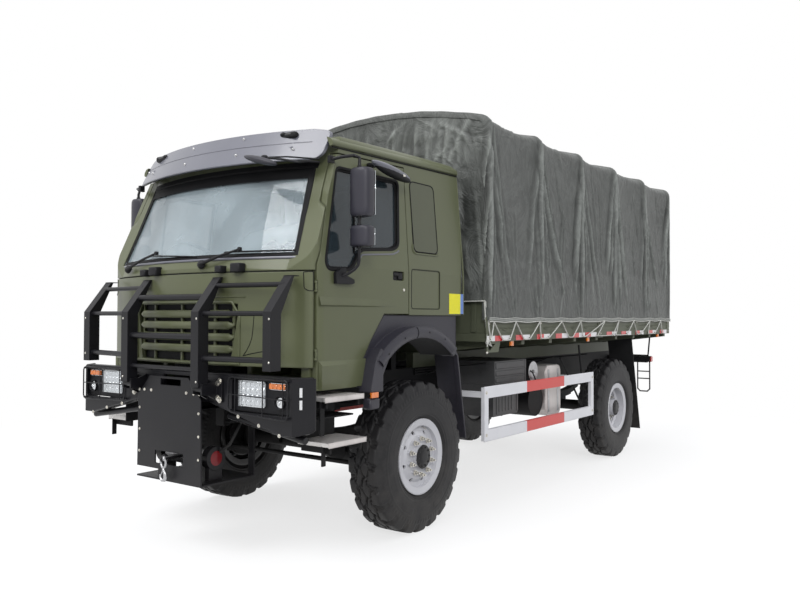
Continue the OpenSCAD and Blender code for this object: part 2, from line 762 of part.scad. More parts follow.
module roof_slope(d) {
    side_plate(-half_w - over, cab_w + 2 * over) polygon([
        [-cab_front - 10, 0], [cab_rear + 10, 0], [cab_rear + 10, roof_top - d + over],
        [-1000, roof_top - d - roof_fall], [-cab_front - 10, roof_top - d - roof_fall - 20]
    ]);
}

module cab_block(d) {
    difference() {
        intersection() {
            linear_extrude(roof_top + 10) cab_plan(d);
            front_plate(-cab_front - 10, cab_front + cab_rear + 20) cab_front_view(d);
            roof_slope(d);
        }
        screen_space(d);
    }
}

// Centre of the wheel arch as (Y, Z) and the side's lower edge
arch_c = [-118, 852];
foot_z = door_low + 70;
floor_z = sill_z + 40;
tunnel_half = frame_w / 2 + 35;
foot_back = -690;

module below_cab() {
    // Under the side behind the arch, and under the front panel
    block([-far / 2, -cab_front - 50, -over], [far / 2, cab_rear + 50, door_low]);
    block([-far / 2, foot_back, -over], [far / 2, cab_rear + 50, sill_z]);
    block([-tunnel_half, -cab_front - 50, 0], [tunnel_half, cab_rear + 50, sill_z]);
    block([-far / 2, -cab_front - 50, 0], [far / 2, -door_front, panel_low]);
    x_bar(-far / 2, far / 2, arch_c[0], arch_c[1], arch_r + flare_w + seat_gap);
    // Side skin behind the doors' lower edge, where the black panel takes its place
    both_sides() side_plate(panel_x - seat_gap, 200)
        polygon(concat([for (p = arch_edge) [p[0], min(p[1], sill_z)]], [[far, sill_z], [far, 0], [arch_edge[0][0], 0]]));
}

// Edge between the door and the black panel round the arch, as (Y, Z) from the bottom up
arch_edge = [[-792, door_low], [-716, 1400], [-628, 1530], [-474, sill_z]];

// Window and door outlines as (Y, Z)
window_pts = [[-1138, 2062], [-958, 2750], [-232, 2750], [-280, 2240], [-355, 2206], [-742, 2178],
              [-834, 2057], [-878, 2024], [-1104, 2018]];
pillar_top = [-990, roof_top - 172];
door_top_back = [-142, roof_top - 152];

// Everything between the cab's sides, which lean in above the waist, less d on each side
module between_sides(d) front_plate(-far / 2, far) polygon([
    [-half_w + d, 0], [half_w - d, 0], [half_w - d, waist_z], [half_w - side_lean - d, roof_top - roof_r],
    [half_w - side_lean - d, far], [-half_w + side_lean + d, far], [-half_w + side_lean + d, roof_top - roof_r],
    [-half_w + d, waist_z]
]);

module door_outline(d) {
    polygon([
        [-door_front + d, door_low + d], [-door_front + d, waist_z], [pillar_top[0] + d, pillar_top[1] - d],
        [door_top_back[0] - d, door_top_back[1] - d], [-door_back - d, waist_z], [-door_back - d, sill_z + d],
        [arch_edge[3][0] - d, sill_z + d], [arch_edge[2][0] - d, arch_edge[2][1]],
        [arch_edge[1][0] - d, arch_edge[1][1]], [arch_edge[0][0] - d, door_low + d]
    ]);
}

module window_outline(d) offset_free(window_pts, d);

// A polygon scaled about its middle, so that its edges move in by about d
module offset_free(pts, d) {
    c = [(min([for (p = pts) p[0]]) + max([for (p = pts) p[0]])) / 2,
         (min([for (p = pts) p[1]]) + max([for (p = pts) p[1]])) / 2];
    h = [c[0] - min([for (p = pts) p[0]]), c[1] - min([for (p = pts) p[1]])];
    polygon([for (p = pts) [c[0] + (p[0] - c[0]) * (h[0] - d) / h[0], c[1] + (p[1] - c[1]) * (h[1] - d) / h[1]]]);
}

module screen_outline(d) polygon([
    [-992 + d, screen_low + d], [-912 + d, screen_high - d], [912 - d, screen_high - d], [992 - d, screen_low + d]
]);

// Door hinges: line at the outer edge of the seam ahead of the door, as (X, Y), and their heights
hinge_line = [half_w - 18, -door_front + 4];
door_hinge_z = [1440, 1900];
barrel_r = 8;
barrel_h = 40;
lug_h = 18;
door_pin_r = 5;
hinge_play = 0.5;
pillar_out = half_w - door_t - door_gap;
pillar_in = pillar_out - 75;
pillar_front = -door_front - door_gap + seat_gap;

// The cab's share of a door's hinges: straps from the pillar, lugs and pins
module hinge_lugs() for (z = door_hinge_z) {
    for (s = [-1, 1]) {
        low = z + s * (barrel_h / 2 + hinge_play + lug_h / 2) - lug_h / 2;
        translate([hinge_line[0], hinge_line[1], low]) cylinder(h = lug_h, r = barrel_r);
        block([pillar_out - 20, hinge_line[1] - barrel_r, low], [hinge_line[0], hinge_line[1] - 2, low + lug_h]);
    }
    reach = barrel_h / 2 + hinge_play + lug_h;
    translate([hinge_line[0], hinge_line[1], z - reach]) cylinder(h = 2 * reach, r = door_pin_r);
}

// A thin sheet of the space between the cab's side walls, from corner lo to corner hi. The seam along each
// side runs this far inside the wall, as the wall's inner face leans a little more than its outer one
seam_in = 4;
module seam_sheet(lo, hi) intersection() {
    between_sides(cab_wall + seam_in);
    block(lo, hi);
}

// Seams between the panels that the shell is welded from
module panel_seams() {
    t = seat_gap;
    wide = half_w;
    high = floor_z + over;
    well_y = foot_back + over;
    roof_seam = roof_top - roof_r;
    // Roof from the walls, and each side from what lies between the sides
    block([-wide - over, -far / 2, roof_seam - t], [wide + over, far / 2, roof_seam]);
    difference() {
        seam_sheet([-wide, -far / 2, -over], [wide, far / 2, roof_seam - t / 2]);
        between_sides(cab_wall + seam_in + t);
    }
    // Rear wall, with its rounded inner corners, from the floor and the cant rails
    rear_y = cab_rear - cab_wall - rear_corner_r - over;
    seam_sheet([-wide, rear_y - t, 0], [wide, rear_y, roof_seam - t / 2]);
    // Cant rails from the windscreen's frame
    seam_sheet([-wide, pillar_top[0] + 90, waist_z], [wide, pillar_top[0] + 90 + t, roof_seam - t / 2]);
    // Rear floor from the tunnel and the foot wells
    seam_sheet([-wide, well_y, 0], [wide, well_y + t, high]);
    both_sides() {
        // Inner wall of a foot well from the tunnel and from the well's floor and back
        for (x = [tunnel_half - over - t, tunnel_half + cab_wall + over])
            block([x, -far / 2, 0], [x + t, well_y, high]);
        seam_sheet([tunnel_half + cab_wall, -far / 2, foot_z + over], [wide, well_y, foot_z + over + t]);
        pillar_seams();
    }
}

// Seams at a hinge pillar's foot and under the scuttle
module pillar_seams() for (z = [foot_z + over, seam_z - over - seat_gap])
    block([pillar_in - over, pillar_front - over, z], [pillar_out + over, -door_front + 80 + over, z + seat_gap]);

// Hinge pillar inside a door's front edge
module hinge_pillar() {
    difference() {
        block([pillar_in, pillar_front, door_low + 20], [pillar_out, -door_front + 80, waist_z + 40]);
        pillar_seams();
    }
    hinge_lugs();
}

module cab_shell() color(olive) placed() {
    both_sides() hinge_pillar();
    difference() {
        pressed_shell();
        panel_seams();
    }
}

module pressed_shell() {
    difference() {
        cab_block(0);
        // Hollow cabin above the floor and the foot wells
        difference() {
            cab_block(cab_wall);
            block([-far / 2, -far / 2, -over], [far / 2, far / 2, foot_z]);
            block([-far / 2, foot_back - cab_wall, 0], [far / 2, far / 2, floor_z]);
            block([-tunnel_half - cab_wall, -far / 2, 0], [tunnel_half + cab_wall, far / 2, floor_z]);
            x_bar(-far / 2, far / 2, arch_c[0], arch_c[1], arch_r + flare_w + cab_wall);
        }
        below_cab();
        // The front panel is a piece of its own
        block([-far / 2, -cab_front - 50, 0], [far / 2, -door_front, seam_z]);
        // Windscreen and doors
        front_plate(-cab_front - 50, 700) screen_outline(0);
        both_sides() difference() {
            side_plate(half_w - side_lean - 130, 400) door_outline(0);
            between_sides(door_t + door_gap);
        }
        // Recesses for the blanked side window and the hatch
        both_sides() side_plate(half_w - 34, 100) round_rect([-88, 2205], [262, 2780], 50);
        both_sides() side_plate(half_w - 5, 100) round_rect([-136, 1756], [272, 2074], 24);
    }
}

// Grille opening and its slats: heights of the slats' middles
grille = [[-560, 1376], [560, 1784]];
slat_z = [1713, 1632, 1549, 1466];
slat_h = 44;
module slat(z) {
    tip = grille[1][0] - 26;
    polygon([[-tip, z], [-tip + 46, z + slat_h / 2], [tip - 46, z + slat_h / 2], [tip, z],
             [tip - 46, z - slat_h / 2], [-tip + 46, z - slat_h / 2]]);
}

// Part of the cab's front skin between two depths below its surface
module front_skin(d0, d1, low, high) intersection() {
    difference() {
        cab_block(d0);
        cab_block(d1);
    }
    block([-far / 2, -cab_front - 50, low], [far / 2, -door_front - door_gap, high]);
}

module front_panel() color(olive) placed() {
    panel_t = 34;
    difference() {
        front_skin(0, panel_t, panel_low, seam_z - door_gap);
        front_plate(-cab_front - 50, 300)
            polygon([[grille[0][0], 1700], [grille[0][0] + 60, grille[0][1]], [grille[1][0] - 60, grille[0][1]],
                     [grille[1][0], 1700], [grille[1][0], grille[1][1]], [grille[0][0], grille[1][1]]]);
    }
    intersection() {
        front_skin(0, 22, panel_low, seam_z - door_gap);
        front_plate(-cab_front - 50, 300) for (z = slat_z) slat(z);
    }
    // Ribs behind the slats
    intersection() {
        front_skin(16, panel_t, panel_low, seam_z - door_gap);
        for (x = [-510, -340, 0, 340, 510])
            block([x - 9, -cab_front - 50, grille[0][1] - over], [x + 9, -door_front, grille[1][1] + over]);
    }
}

module windscreen() color([0.6, 0.7, 0.75, 0.4]) placed() {
    intersection() {
        difference() {
            cab_block(10);
            cab_block(10 + glass_t);
        }
        front_plate(-cab_front - 50, 700) screen_outline(seat_gap);
    }
}

module dashboard() color([0.16, 0.16, 0.17]) placed() {
    // Dashboard under the windscreen, on the front wall
    dash_top = screen_low - 40;
    wheel_c = [-470, -880, 2150];
    dash_half = pillar_in - seat_gap;
    block([-dash_half, -1170, floor_z + 140], [dash_half, -990, dash_top]);
    both_sides() block([tunnel_half - 160, -1170, floor_z], [tunnel_half - 60, -1060, floor_z + 140 + over]);
    // Steering wheel on its column, on the right
    bar([wheel_c[0], -1080, 1900], wheel_c, 32);
    translate(wheel_c) rotate([-38, 0, 0]) {
        rotate_extrude($fn = 64) translate([215, 0]) circle(16);
        for (a = [90, 210, 330]) rotate([0, 0, a]) translate([0, -18, -7]) cube([214, 36, 14]);
        cylinder(h = 30, r = 52, center = true);
    }
}

// Seats: [X of the middle, width]
seat_rows = [[-640, 480], [560, 620]];
module seats() color([0.22, 0.23, 0.22]) placed() {
    for (s = seat_rows) {
        lo = s[0] - s[1] / 2;
        hi = s[0] + s[1] / 2;
        side_plate(lo, s[1]) {
            round_rect([-560, 2010], [-60, 2140], 50);
            polygon([[-150, 2080], [-30, 2080], [70, 2700], [-30, 2700]]);
        }
        block([lo + 60, -480, floor_z + seat_gap], [hi - 60, -120, 2040]);
    }
    // Bunk along the rear wall
    block([-half_w + 140, 120, floor_z + seat_gap], [half_w - 140, cab_rear - cab_wall - 20, 2080]);
}

// Sun visor: a curved strip ahead of the windscreen's head
visor_ahead = 157;
visor_half = 1024;
visor_r = 2800;
visor_t = 24;
module sun_visor() color(visor_grey) placed() {
    visor_low = screen_high + 32;
    visor_high = roof_top + 12;
    lean = 29;
    foot = screen_foot[0] + (visor_low - screen_low) * tan(screen_lean) - visor_ahead;
    intersection() {
        translate([0, foot, visor_low]) rotate([-lean, 0, 0]) translate([0, 0, -60]) linear_extrude(420)
            difference() {
                translate([0, visor_r]) circle(visor_r, $fn = 360);
                translate([0, visor_r]) circle(visor_r - visor_t, $fn = 360);
            }
        front_plate(-cab_front - 200, 900) round_rect([-visor_half, visor_low], [visor_half, visor_high], 70);
    }
    // Brackets to the cab
    bracket_z = roof_top - 150;
    difference() {
        for (x = [-780, -290, 290, 780]) {
            y = foot + (bracket_z - visor_low) * tan(lean) + visor_r - sqrt(visor_r * visor_r - x * x);
            block([x - 14, y + visor_t, bracket_z], [x + 14, y + visor_ahead + 60, bracket_z + 26]);
        }
        cab_block(-seat_gap);
    }
}

// Flares over the front wheels, with the black panel round the arch and the mud flap behind it
flare_x = half_w + 97;
flare_foot = [-757, 1160];
panel_x = half_w - 62;
flap_x = wheel_x - tyre_w / 2 + 30;

// Outline of a flare as (Y, Z): a ring over the wheel with a wider front foot
module flare_outline() {
    difference() {
        translate(arch_c) circle(arch_r + flare_w, $fn = 180);
        translate(arch_c) circle(arch_r, $fn = 180);
        translate([-far, 1400 - far]) square([far - 690, far]);
        polygon([arch_c, arch_c + [600, 700], arch_c + [1200, 700], arch_c + [1200, -900], arch_c + [-1200, -900],
                 arch_c + [-1200, 540], arch_c + [-560, 540]]);
    }
    polygon([flare_foot, [-694, 1400], [-640, 1470], [-540, 1400], [-616, 1280], flare_foot + [140, 0]]);
}

module cab_fenders() color(charcoal) placed() both_sides() {
    top = sill_z - seat_gap;
    side_plate(panel_x, half_w - 16 - panel_x) difference() {
        polygon(concat(
            [for (p = arch_edge) [p[0] + 8, min(p[1], top)]],
            [[cab_rear - 100, top], [cab_rear - 100, 1420], [cab_rear - 60, 1370], [cab_rear + 74, 650],
             [cab_rear + 62, 650], [cab_rear - 76, 1370], [420, 1420], [200, 1450], [arch_c[0], 1500],
             [-480, 1400], [-620, door_low]]
        ));
        translate(arch_c) circle(arch_r, $fn = 180);
    }
    side_plate(half_w - 17, flare_x - half_w + 17) flare_outline();
    // Mud flap across the tyre's width
    side_plate(flap_x, panel_x - flap_x + over)
        polygon([[cab_rear - 72, 1370], [cab_rear - 60, 1370], [cab_rear + 74, 650], [cab_rear + 62, 650]]);
}

module cab_steps() color(charcoal) placed() both_sides() {
    block([half_w - 190, -1240, 830], [half_w - 180, -830, door_low - seat_gap]);
}

// Steps: [upper surface, front end, rear end]
step_rows = [[1162, -1250, -840], [858, -1212, -812]];
module step_treads() color([0.85, 0.85, 0.86]) placed() both_sides() {
    for (s = step_rows) block([half_w - 180, s[1], s[0] - 26], [guard_x + 6, s[2], s[0]]);
}

module rear_mudguards() color(rubber) placed() both_sides() {
    t = 10;
    top = floor_top - floor_t - seat_gap;
    side_plate(wheel_x - tyre_w / 2, tyre_w + 6) polygon([
        [wheelbase + 410, top], [wheelbase + 410 + t, top], [wheelbase + 730 + t, 262], [wheelbase + 730, 262]
    ]);
}

module side_guards() color("white") placed() both_sides() {
    y0 = guard_front;
    y1 = wheelbase - guard_back;
    t = 34;
    side_plate(guard_x - t, t) difference() {
        translate([y0, side_guard_low]) square([y1 - y0, side_guard_top - side_guard_low]);
        translate([y0 + 70, side_guard_low + guard_rail_h])
            square([y1 - y0 - 140, side_guard_top - side_guard_low - 2 * guard_rail_h]);
    }
    // Arms from the frame
    for (y = [y0 + 10, y1 - 60])
        block([frame_w / 2 + seat_gap, y, side_guard_top - 90], [guard_x - t + over, y + 50, side_guard_top - 40]);
}

// Place between the axles, which moves with the ends of the side guard: the guard's front end and length
// in the truck as measured are bay_base
bay_base = [833, 2417];
function bay(y) = guard_front + (y - bay_base[0]) * (wheelbase - guard_back - guard_front) / bay_base[1];

module fuel_tank() color([0.75, 0.76, 0.78]) placed() {
    side_plate(frame_w / 2 + 60, tank_x - frame_w / 2 - 60)
        round_rect([bay(tank_y), 664], [bay(tank_y + tank_l), 1190], 80);
    for (y = [bay(tank_y + 90), bay(tank_y + tank_l - 130)])
        block([frame_w / 2 + seat_gap, y, rail_low + 30], [frame_w / 2 + 60 + over, y + 40, frame_top - 80]);
}

module battery_box() color(charcoal) placed() {
    block([frame_w / 2 + seat_gap, bay(battery_y), 760], [tank_x - 20, bay(battery_y + 480), 1063]);
    block([frame_w / 2 + seat_gap, bay(battery_y), 1062], [tank_x, bay(battery_y + 628), 1280]);
}

module air_tanks() color(charcoal) placed() {
    x_bar(frame_w / 2 + seat_gap, tank_x, bay(2105), 1146, 104);
    x_bar(frame_w / 2 + seat_gap, tank_x - 20, bay(2200), 850, 165);
}

// Load bed

floor_top = bed_low + edge_h;
subframe_low = frame_top;
bearer_h = 120;
bearer_low = bed_low - bearer_h;
edge_t = 60;
floor_t = 24;
bed_back = bed_rear - 54;
// Top of the edge beams, a little below the floor
edge_top = floor_top - 3;
// Tailgate hinge line, its pins and eyes
hinge_eye_r = 17;
hinge_y = bed_rear - hinge_eye_r;
hinge_z = floor_top - 16;
hinge_pin_r = 9;
hinge_x = [-950, -330, 330, 950];
hinge_eye_w = 80;
gate_t = 30;
module cargo_bed() color(olive) placed() {
    half = bed_w / 2;
    both_sides() {
        block([frame_w / 2 - rail_flange, bed_front + 40, subframe_low], [frame_w / 2, bed_rear - 60, bearer_low]);
        block([half - edge_t, bed_front, bed_low], [half, bed_back, edge_top]);
    }
    // Open bracket below each front corner
    both_sides() side_plate(half - 16, 10) difference() {
        polygon([[bed_front, bed_low + over], [bed_front + 240, bed_low + over], [bed_front + 205, bed_low - 95],
                 [bed_front, bed_low - 95]]);
        polygon([[bed_front + 26, bed_low - 20], [bed_front + 150, bed_low - 20], [bed_front + 60, bed_low - 75],
                 [bed_front + 26, bed_low - 75]]);
    }
    // Lugs and pins of the tailgate hinges
    for (x = hinge_x) {
        for (s = [-1, 1]) {
            c = x + s * (hinge_eye_w / 2 + 13);
            block([c - 9, bed_back - over, hinge_z - 12], [c + 9, hinge_y, hinge_z + 12]);
            x_bar(c - 9, c + 9, hinge_y, hinge_z, 12);
        }
        x_bar(x - hinge_eye_w / 2 - 14, x + hinge_eye_w / 2 + 14, hinge_y, hinge_z, hinge_pin_r);
    }
    block([-half, bed_front, bed_low], [half, bed_front + edge_t, edge_top]);
    block([-half, bed_back - edge_t, bed_low], [half, bed_back, edge_top]);
    block([-half + edge_t - over, bed_front + edge_t - over, floor_top - floor_t],
          [half - edge_t + over, bed_back - edge_t + over, floor_top]);
    n = 9;
    for (i = [0:n - 1]) {
        y = bed_front + 120 + i * (bed_rear - bed_front - 300) / (n - 1);
        front_plate(y - 30, 60) polygon([
            [-half + 30, bed_low + over], [-half + 30, bed_low - 40], [-frame_w / 2 - 160, bearer_low],
            [frame_w / 2 + 160, bearer_low], [half - 30, bed_low - 40], [half - 30, bed_low + over]
        ]);
        block([-half + edge_t - over, y - 30, bed_low], [half - edge_t + over, y + 30, floor_top - floor_t + over]);
    }
}

board_top = floor_top + board_h;
board_x = bed_w / 2 - 6;
module side_boards() color(olive) placed() {
    both_sides() {
        block([board_x - board_t, bed_front + 20, edge_top], [board_x, bed_back, board_top]);
    }
    block([-board_x, bed_front + 20, edge_top], [board_x, bed_front + 20 + board_t, board_top]);
}

// Canopy: half width and rise of its roof, as the chord and the height of an arc
canopy_half = bed_w / 2 + 6;
roof_rise = canopy_top - eaves_z;
canopy_r = (canopy_half * canopy_half + roof_rise * roof_rise) / (2 * roof_rise);
canopy_front = bed_front - 2;
canopy_back = bed_back;

// Front view of the canopy's section, shrunk by d
module canopy_section(d, low) intersection() {
    translate([0, canopy_top - canopy_r]) circle(canopy_r - d, $fn = 360);
    translate([-canopy_half + d, low]) square([2 * (canopy_half - d), 3000]);
}

// Four panels of canvas: the sides, the front and the roof over them
panel_top = eaves_z - 30;
module canopy() color(canvas_green) placed() {
    both_sides() block([canopy_half - canvas_t, canopy_front, hem_z], [canopy_half, canopy_back, panel_top]);
    block([-canopy_half + canvas_t + seat_gap, canopy_front, hem_z + 165],
          [canopy_half - canvas_t - seat_gap, canopy_front + canvas_t, panel_top]);
    difference() {
        front_plate(canopy_front, canopy_back - canopy_front) canopy_section(0, panel_top + seat_gap);
        front_plate(canopy_front + canvas_t, far * 2) canopy_section(canvas_t, panel_top - over);
    }
}

module canopy_bows() color([0.25, 0.26, 0.2]) placed() {
    d = canvas_t + seat_gap;
    first = canopy_front + canvas_t + 24;
    last = canopy_back - 30;
    arch_low = eaves_z - 46;
    for (i = [0:bow_count - 1]) {
        y = first + i * (last - first) / (bow_count - 1) - 18;
        // Arch, and the two posts that it stands on
        front_plate(y, 36) difference() {
            canopy_section(d, arch_low);
            canopy_section(d + bow_t, arch_low - over);
        }
        both_sides() block([canopy_half - d - bow_t, y, board_top], [canopy_half - d, y + 36, arch_low - seat_gap]);
    }
    // Ridge tubes below the arches
    tube_r = 12;
    reach = canopy_r - d - bow_t - tube_r - seat_gap;
    for (a = [-10, 0, 10]) y_bar(first, last, reach * sin(a), canopy_top - canopy_r + reach * cos(a), tube_r);
}

module tailgate() color(olive) placed() {
    low = floor_top + 5;
    block([-board_x + 8, hinge_y + 10 - gate_t, low], [board_x - 8, hinge_y + 10, board_top]);
    for (x = hinge_x) difference() {
        union() {
            x_bar(x - hinge_eye_w / 2, x + hinge_eye_w / 2, hinge_y, hinge_z, hinge_eye_r);
            block([x - hinge_eye_w / 2, hinge_y - 12, hinge_z], [x + hinge_eye_w / 2, hinge_y + 10, low + over]);
        }
        x_bar(x - hinge_eye_w, x + hinge_eye_w, hinge_y, hinge_z, hinge_pin_r + pin_gap);
    }
}

// Round bars from point to point, with round elbows
module bent_bar(pts, r) {
    for (i = [0:len(pts) - 2]) bar(pts[i], pts[i + 1], r);
    for (i = [1:len(pts) - 2]) translate(pts[i]) sphere(r + 1);
}

// Rear crossbar with lamps, and the ladder below it on the left
ladder_x = [848, 1018];
ladder_low = 668;
module rear_bumper() color(charcoal) placed() {
    y = rail_rear - 80;
    bent_bar([[ladder_x[0], y + 50, 1090], [ladder_x[0], y + 50, ladder_low + 34], [ladder_x[0] + 34, y + 50, ladder_low],
              [ladder_x[1] - 34, y + 50, ladder_low], [ladder_x[1], y + 50, ladder_low + 34], [ladder_x[1], y + 50, 1090]], 9);
    for (z = [845, 945]) x_bar(ladder_x[0], ladder_x[1], y + 50, z, 8);
    both_sides() {
        block([frame_w / 2 + seat_gap, y, 1080], [1040, y + 70, 1160]);
        // Strut up to the bed
        side_plate(985, 15) polygon([[y + 45, 1160 - over], [y + 65, 1160 - over],
                                     [bed_back - 20, bed_low - seat_gap], [bed_back - 40, bed_low - seat_gap]]);
    }
}

module tail_lamps() color([0.6, 0.05, 0.05]) placed() both_sides()
    block([1040 + seat_gap, rail_rear - 75, 1085], [1056, rail_rear - 15, 1155]);

// Doors

module door() color(olive) {
    difference() {
        intersection() {
            difference() {
                cab_block(0);
                between_sides(door_t);
            }
            side_plate(half_w - side_lean - 130, 400) door_outline(door_gap);
        }
        side_plate(half_w - 300, 600) window_outline(0);
        side_plate(half_w - 24, 100) round_rect([-door_back - 209, 1974], [-door_back - 68, 2043], 12);
        for (z = door_hinge_z) translate([hinge_line[0], hinge_line[1], z - barrel_h / 2 - lug_h - 3])
            cylinder(h = barrel_h + 2 * lug_h + 6, r = barrel_r + 2.5);
    }
    // Barrels that turn on the cab's pins
    difference() {
        for (z = door_hinge_z) translate([hinge_line[0], hinge_line[1], z - barrel_h / 2]) {
            cylinder(h = barrel_h, r = barrel_r);
            translate([-16, 0, 0]) cube([16, 20, barrel_h]);
        }
        translate([hinge_line[0], hinge_line[1], 0]) cylinder(h = far, r = door_pin_r + pin_gap);
    }
}

module door_glass() color([0.5, 0.6, 0.62, 0.4]) intersection() {
    difference() {
        between_sides(22);
        between_sides(22 + glass_t);
    }
    side_plate(half_w - 300, 600) window_outline(seat_gap);
}

// Mirror heads: [lower Z, upper Z]
mirror_heads = [[2404, 2742], [2192, 2336]];
mirror_c = [1270, -872];
mirror_size = [162, 92];
module mirrors() color(charcoal) {
    tube_r = 11;
    tube = [mirror_c[0], mirror_c[1] - mirror_size[1] / 2 - tube_r - 4];
    top_z = 2800;
    low_z = 2040;
    for (h = mirror_heads)
        translate([0, 0, h[0]]) linear_extrude(h[1] - h[0])
            round_rect([mirror_c[0] - mirror_size[0] / 2, mirror_c[1] - mirror_size[1] / 2],
                       [mirror_c[0] + mirror_size[0] / 2, mirror_c[1] + mirror_size[1] / 2], 24);
    bar([tube[0], tube[1], low_z], [tube[0], tube[1], top_z], tube_r);
    for (z = [low_z, top_z]) translate([tube[0], tube[1], z]) sphere(tube_r + 2);
    for (h = mirror_heads)
        block([tube[0] - 10, tube[1], h[0] + 40], [tube[0] + 10, mirror_c[1], h[0] + 70]);
    bar([half_w + 12, -1000, low_z - 60], [tube[0], tube[1], low_z], tube_r);
    bar([half_w - 50, -1020, top_z - 10], [tube[0], tube[1], top_z], tube_r);
    difference() {
        block([half_w - 100, -1044, top_z - 40], [half_w - 40, -1000, top_z + 14]);
        cab_block(-seat_gap);
    }
    block([half_w + seat_gap, -1060, 1950], [half_w + 26, -930, 2020]);
}

module door_left() placed() door();
module door_right() placed() mirror([1, 0, 0]) door();
module door_glass_left() placed() door_glass();
module door_glass_right() placed() mirror([1, 0, 0]) door_glass();
module mirrors_left() placed() mirrors();
module mirrors_right() placed() mirror([1, 0, 0]) mirrors();

chassis_frame();
front_axle();
rear_axle();
leaf_springs();
powertrain();
front_bumper();
winch_guard();
winch();
bull_bar();
headlamps();
marker_lamps();
tail_lamps();
cab_shell();
front_panel();
windscreen();
dashboard();
seats();
sun_visor();
cab_fenders();
cab_steps();
step_treads();
rear_mudguards();
side_guards();
fuel_tank();
battery_box();
air_tanks();
cargo_bed();
side_boards();
canopy_bows();
canopy();
rear_bumper();
tailgate();
door_left();
door_glass_left();
mirrors_left();
door_right();
door_glass_right();
mirrors_right();
knuckle_left();
knuckle_right();
tie_rod();
tyre_front_left();
tyre_front_right();
tyre_rear_left();
tyre_rear_right();
rim_front_left();
rim_front_right();
rim_rear_left();
rim_rear_right();
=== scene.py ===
"""Looks of the military cargo truck: canvas, tyres, lamps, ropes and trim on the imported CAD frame, in metres."""
import itertools
import math

import bmesh
import bpy
import numpy as np
from mathutils import Matrix, Vector


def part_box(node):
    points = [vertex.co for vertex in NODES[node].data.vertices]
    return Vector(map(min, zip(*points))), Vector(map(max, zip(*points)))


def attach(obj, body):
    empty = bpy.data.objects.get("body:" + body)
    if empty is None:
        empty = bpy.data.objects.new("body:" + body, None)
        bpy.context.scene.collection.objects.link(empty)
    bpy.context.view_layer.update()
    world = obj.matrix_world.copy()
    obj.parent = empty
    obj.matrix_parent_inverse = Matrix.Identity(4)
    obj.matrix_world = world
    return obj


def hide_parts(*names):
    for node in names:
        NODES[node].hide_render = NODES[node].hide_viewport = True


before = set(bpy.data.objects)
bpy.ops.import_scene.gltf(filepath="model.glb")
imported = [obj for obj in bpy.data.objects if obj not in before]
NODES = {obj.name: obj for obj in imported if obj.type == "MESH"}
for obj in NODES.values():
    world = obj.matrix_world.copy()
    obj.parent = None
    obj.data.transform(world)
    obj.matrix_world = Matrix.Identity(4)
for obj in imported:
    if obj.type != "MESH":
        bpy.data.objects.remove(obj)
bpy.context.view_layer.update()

# The working frame of every number below has Y = 0 at the front axle; the row frame is shifted by this much
FRONT_AXLE_Y = (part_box("rim_front_left")[0][1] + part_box("rim_front_left")[1][1]) / 2


# ---- mesh building -------------------------------------------------------------------------------------------

def quads(rows, cols, ring=True, loop=False):
    """Faces between rows of points. A ring closes each row on itself, a loop joins the last row to the first."""
    return [[i * cols + k, i * cols + (k + 1) % cols, (i + 1) % rows * cols + (k + 1) % cols, (i + 1) % rows * cols + k]
            for i in range(rows if loop else rows - 1) for k in range(cols if ring else cols - 1)]


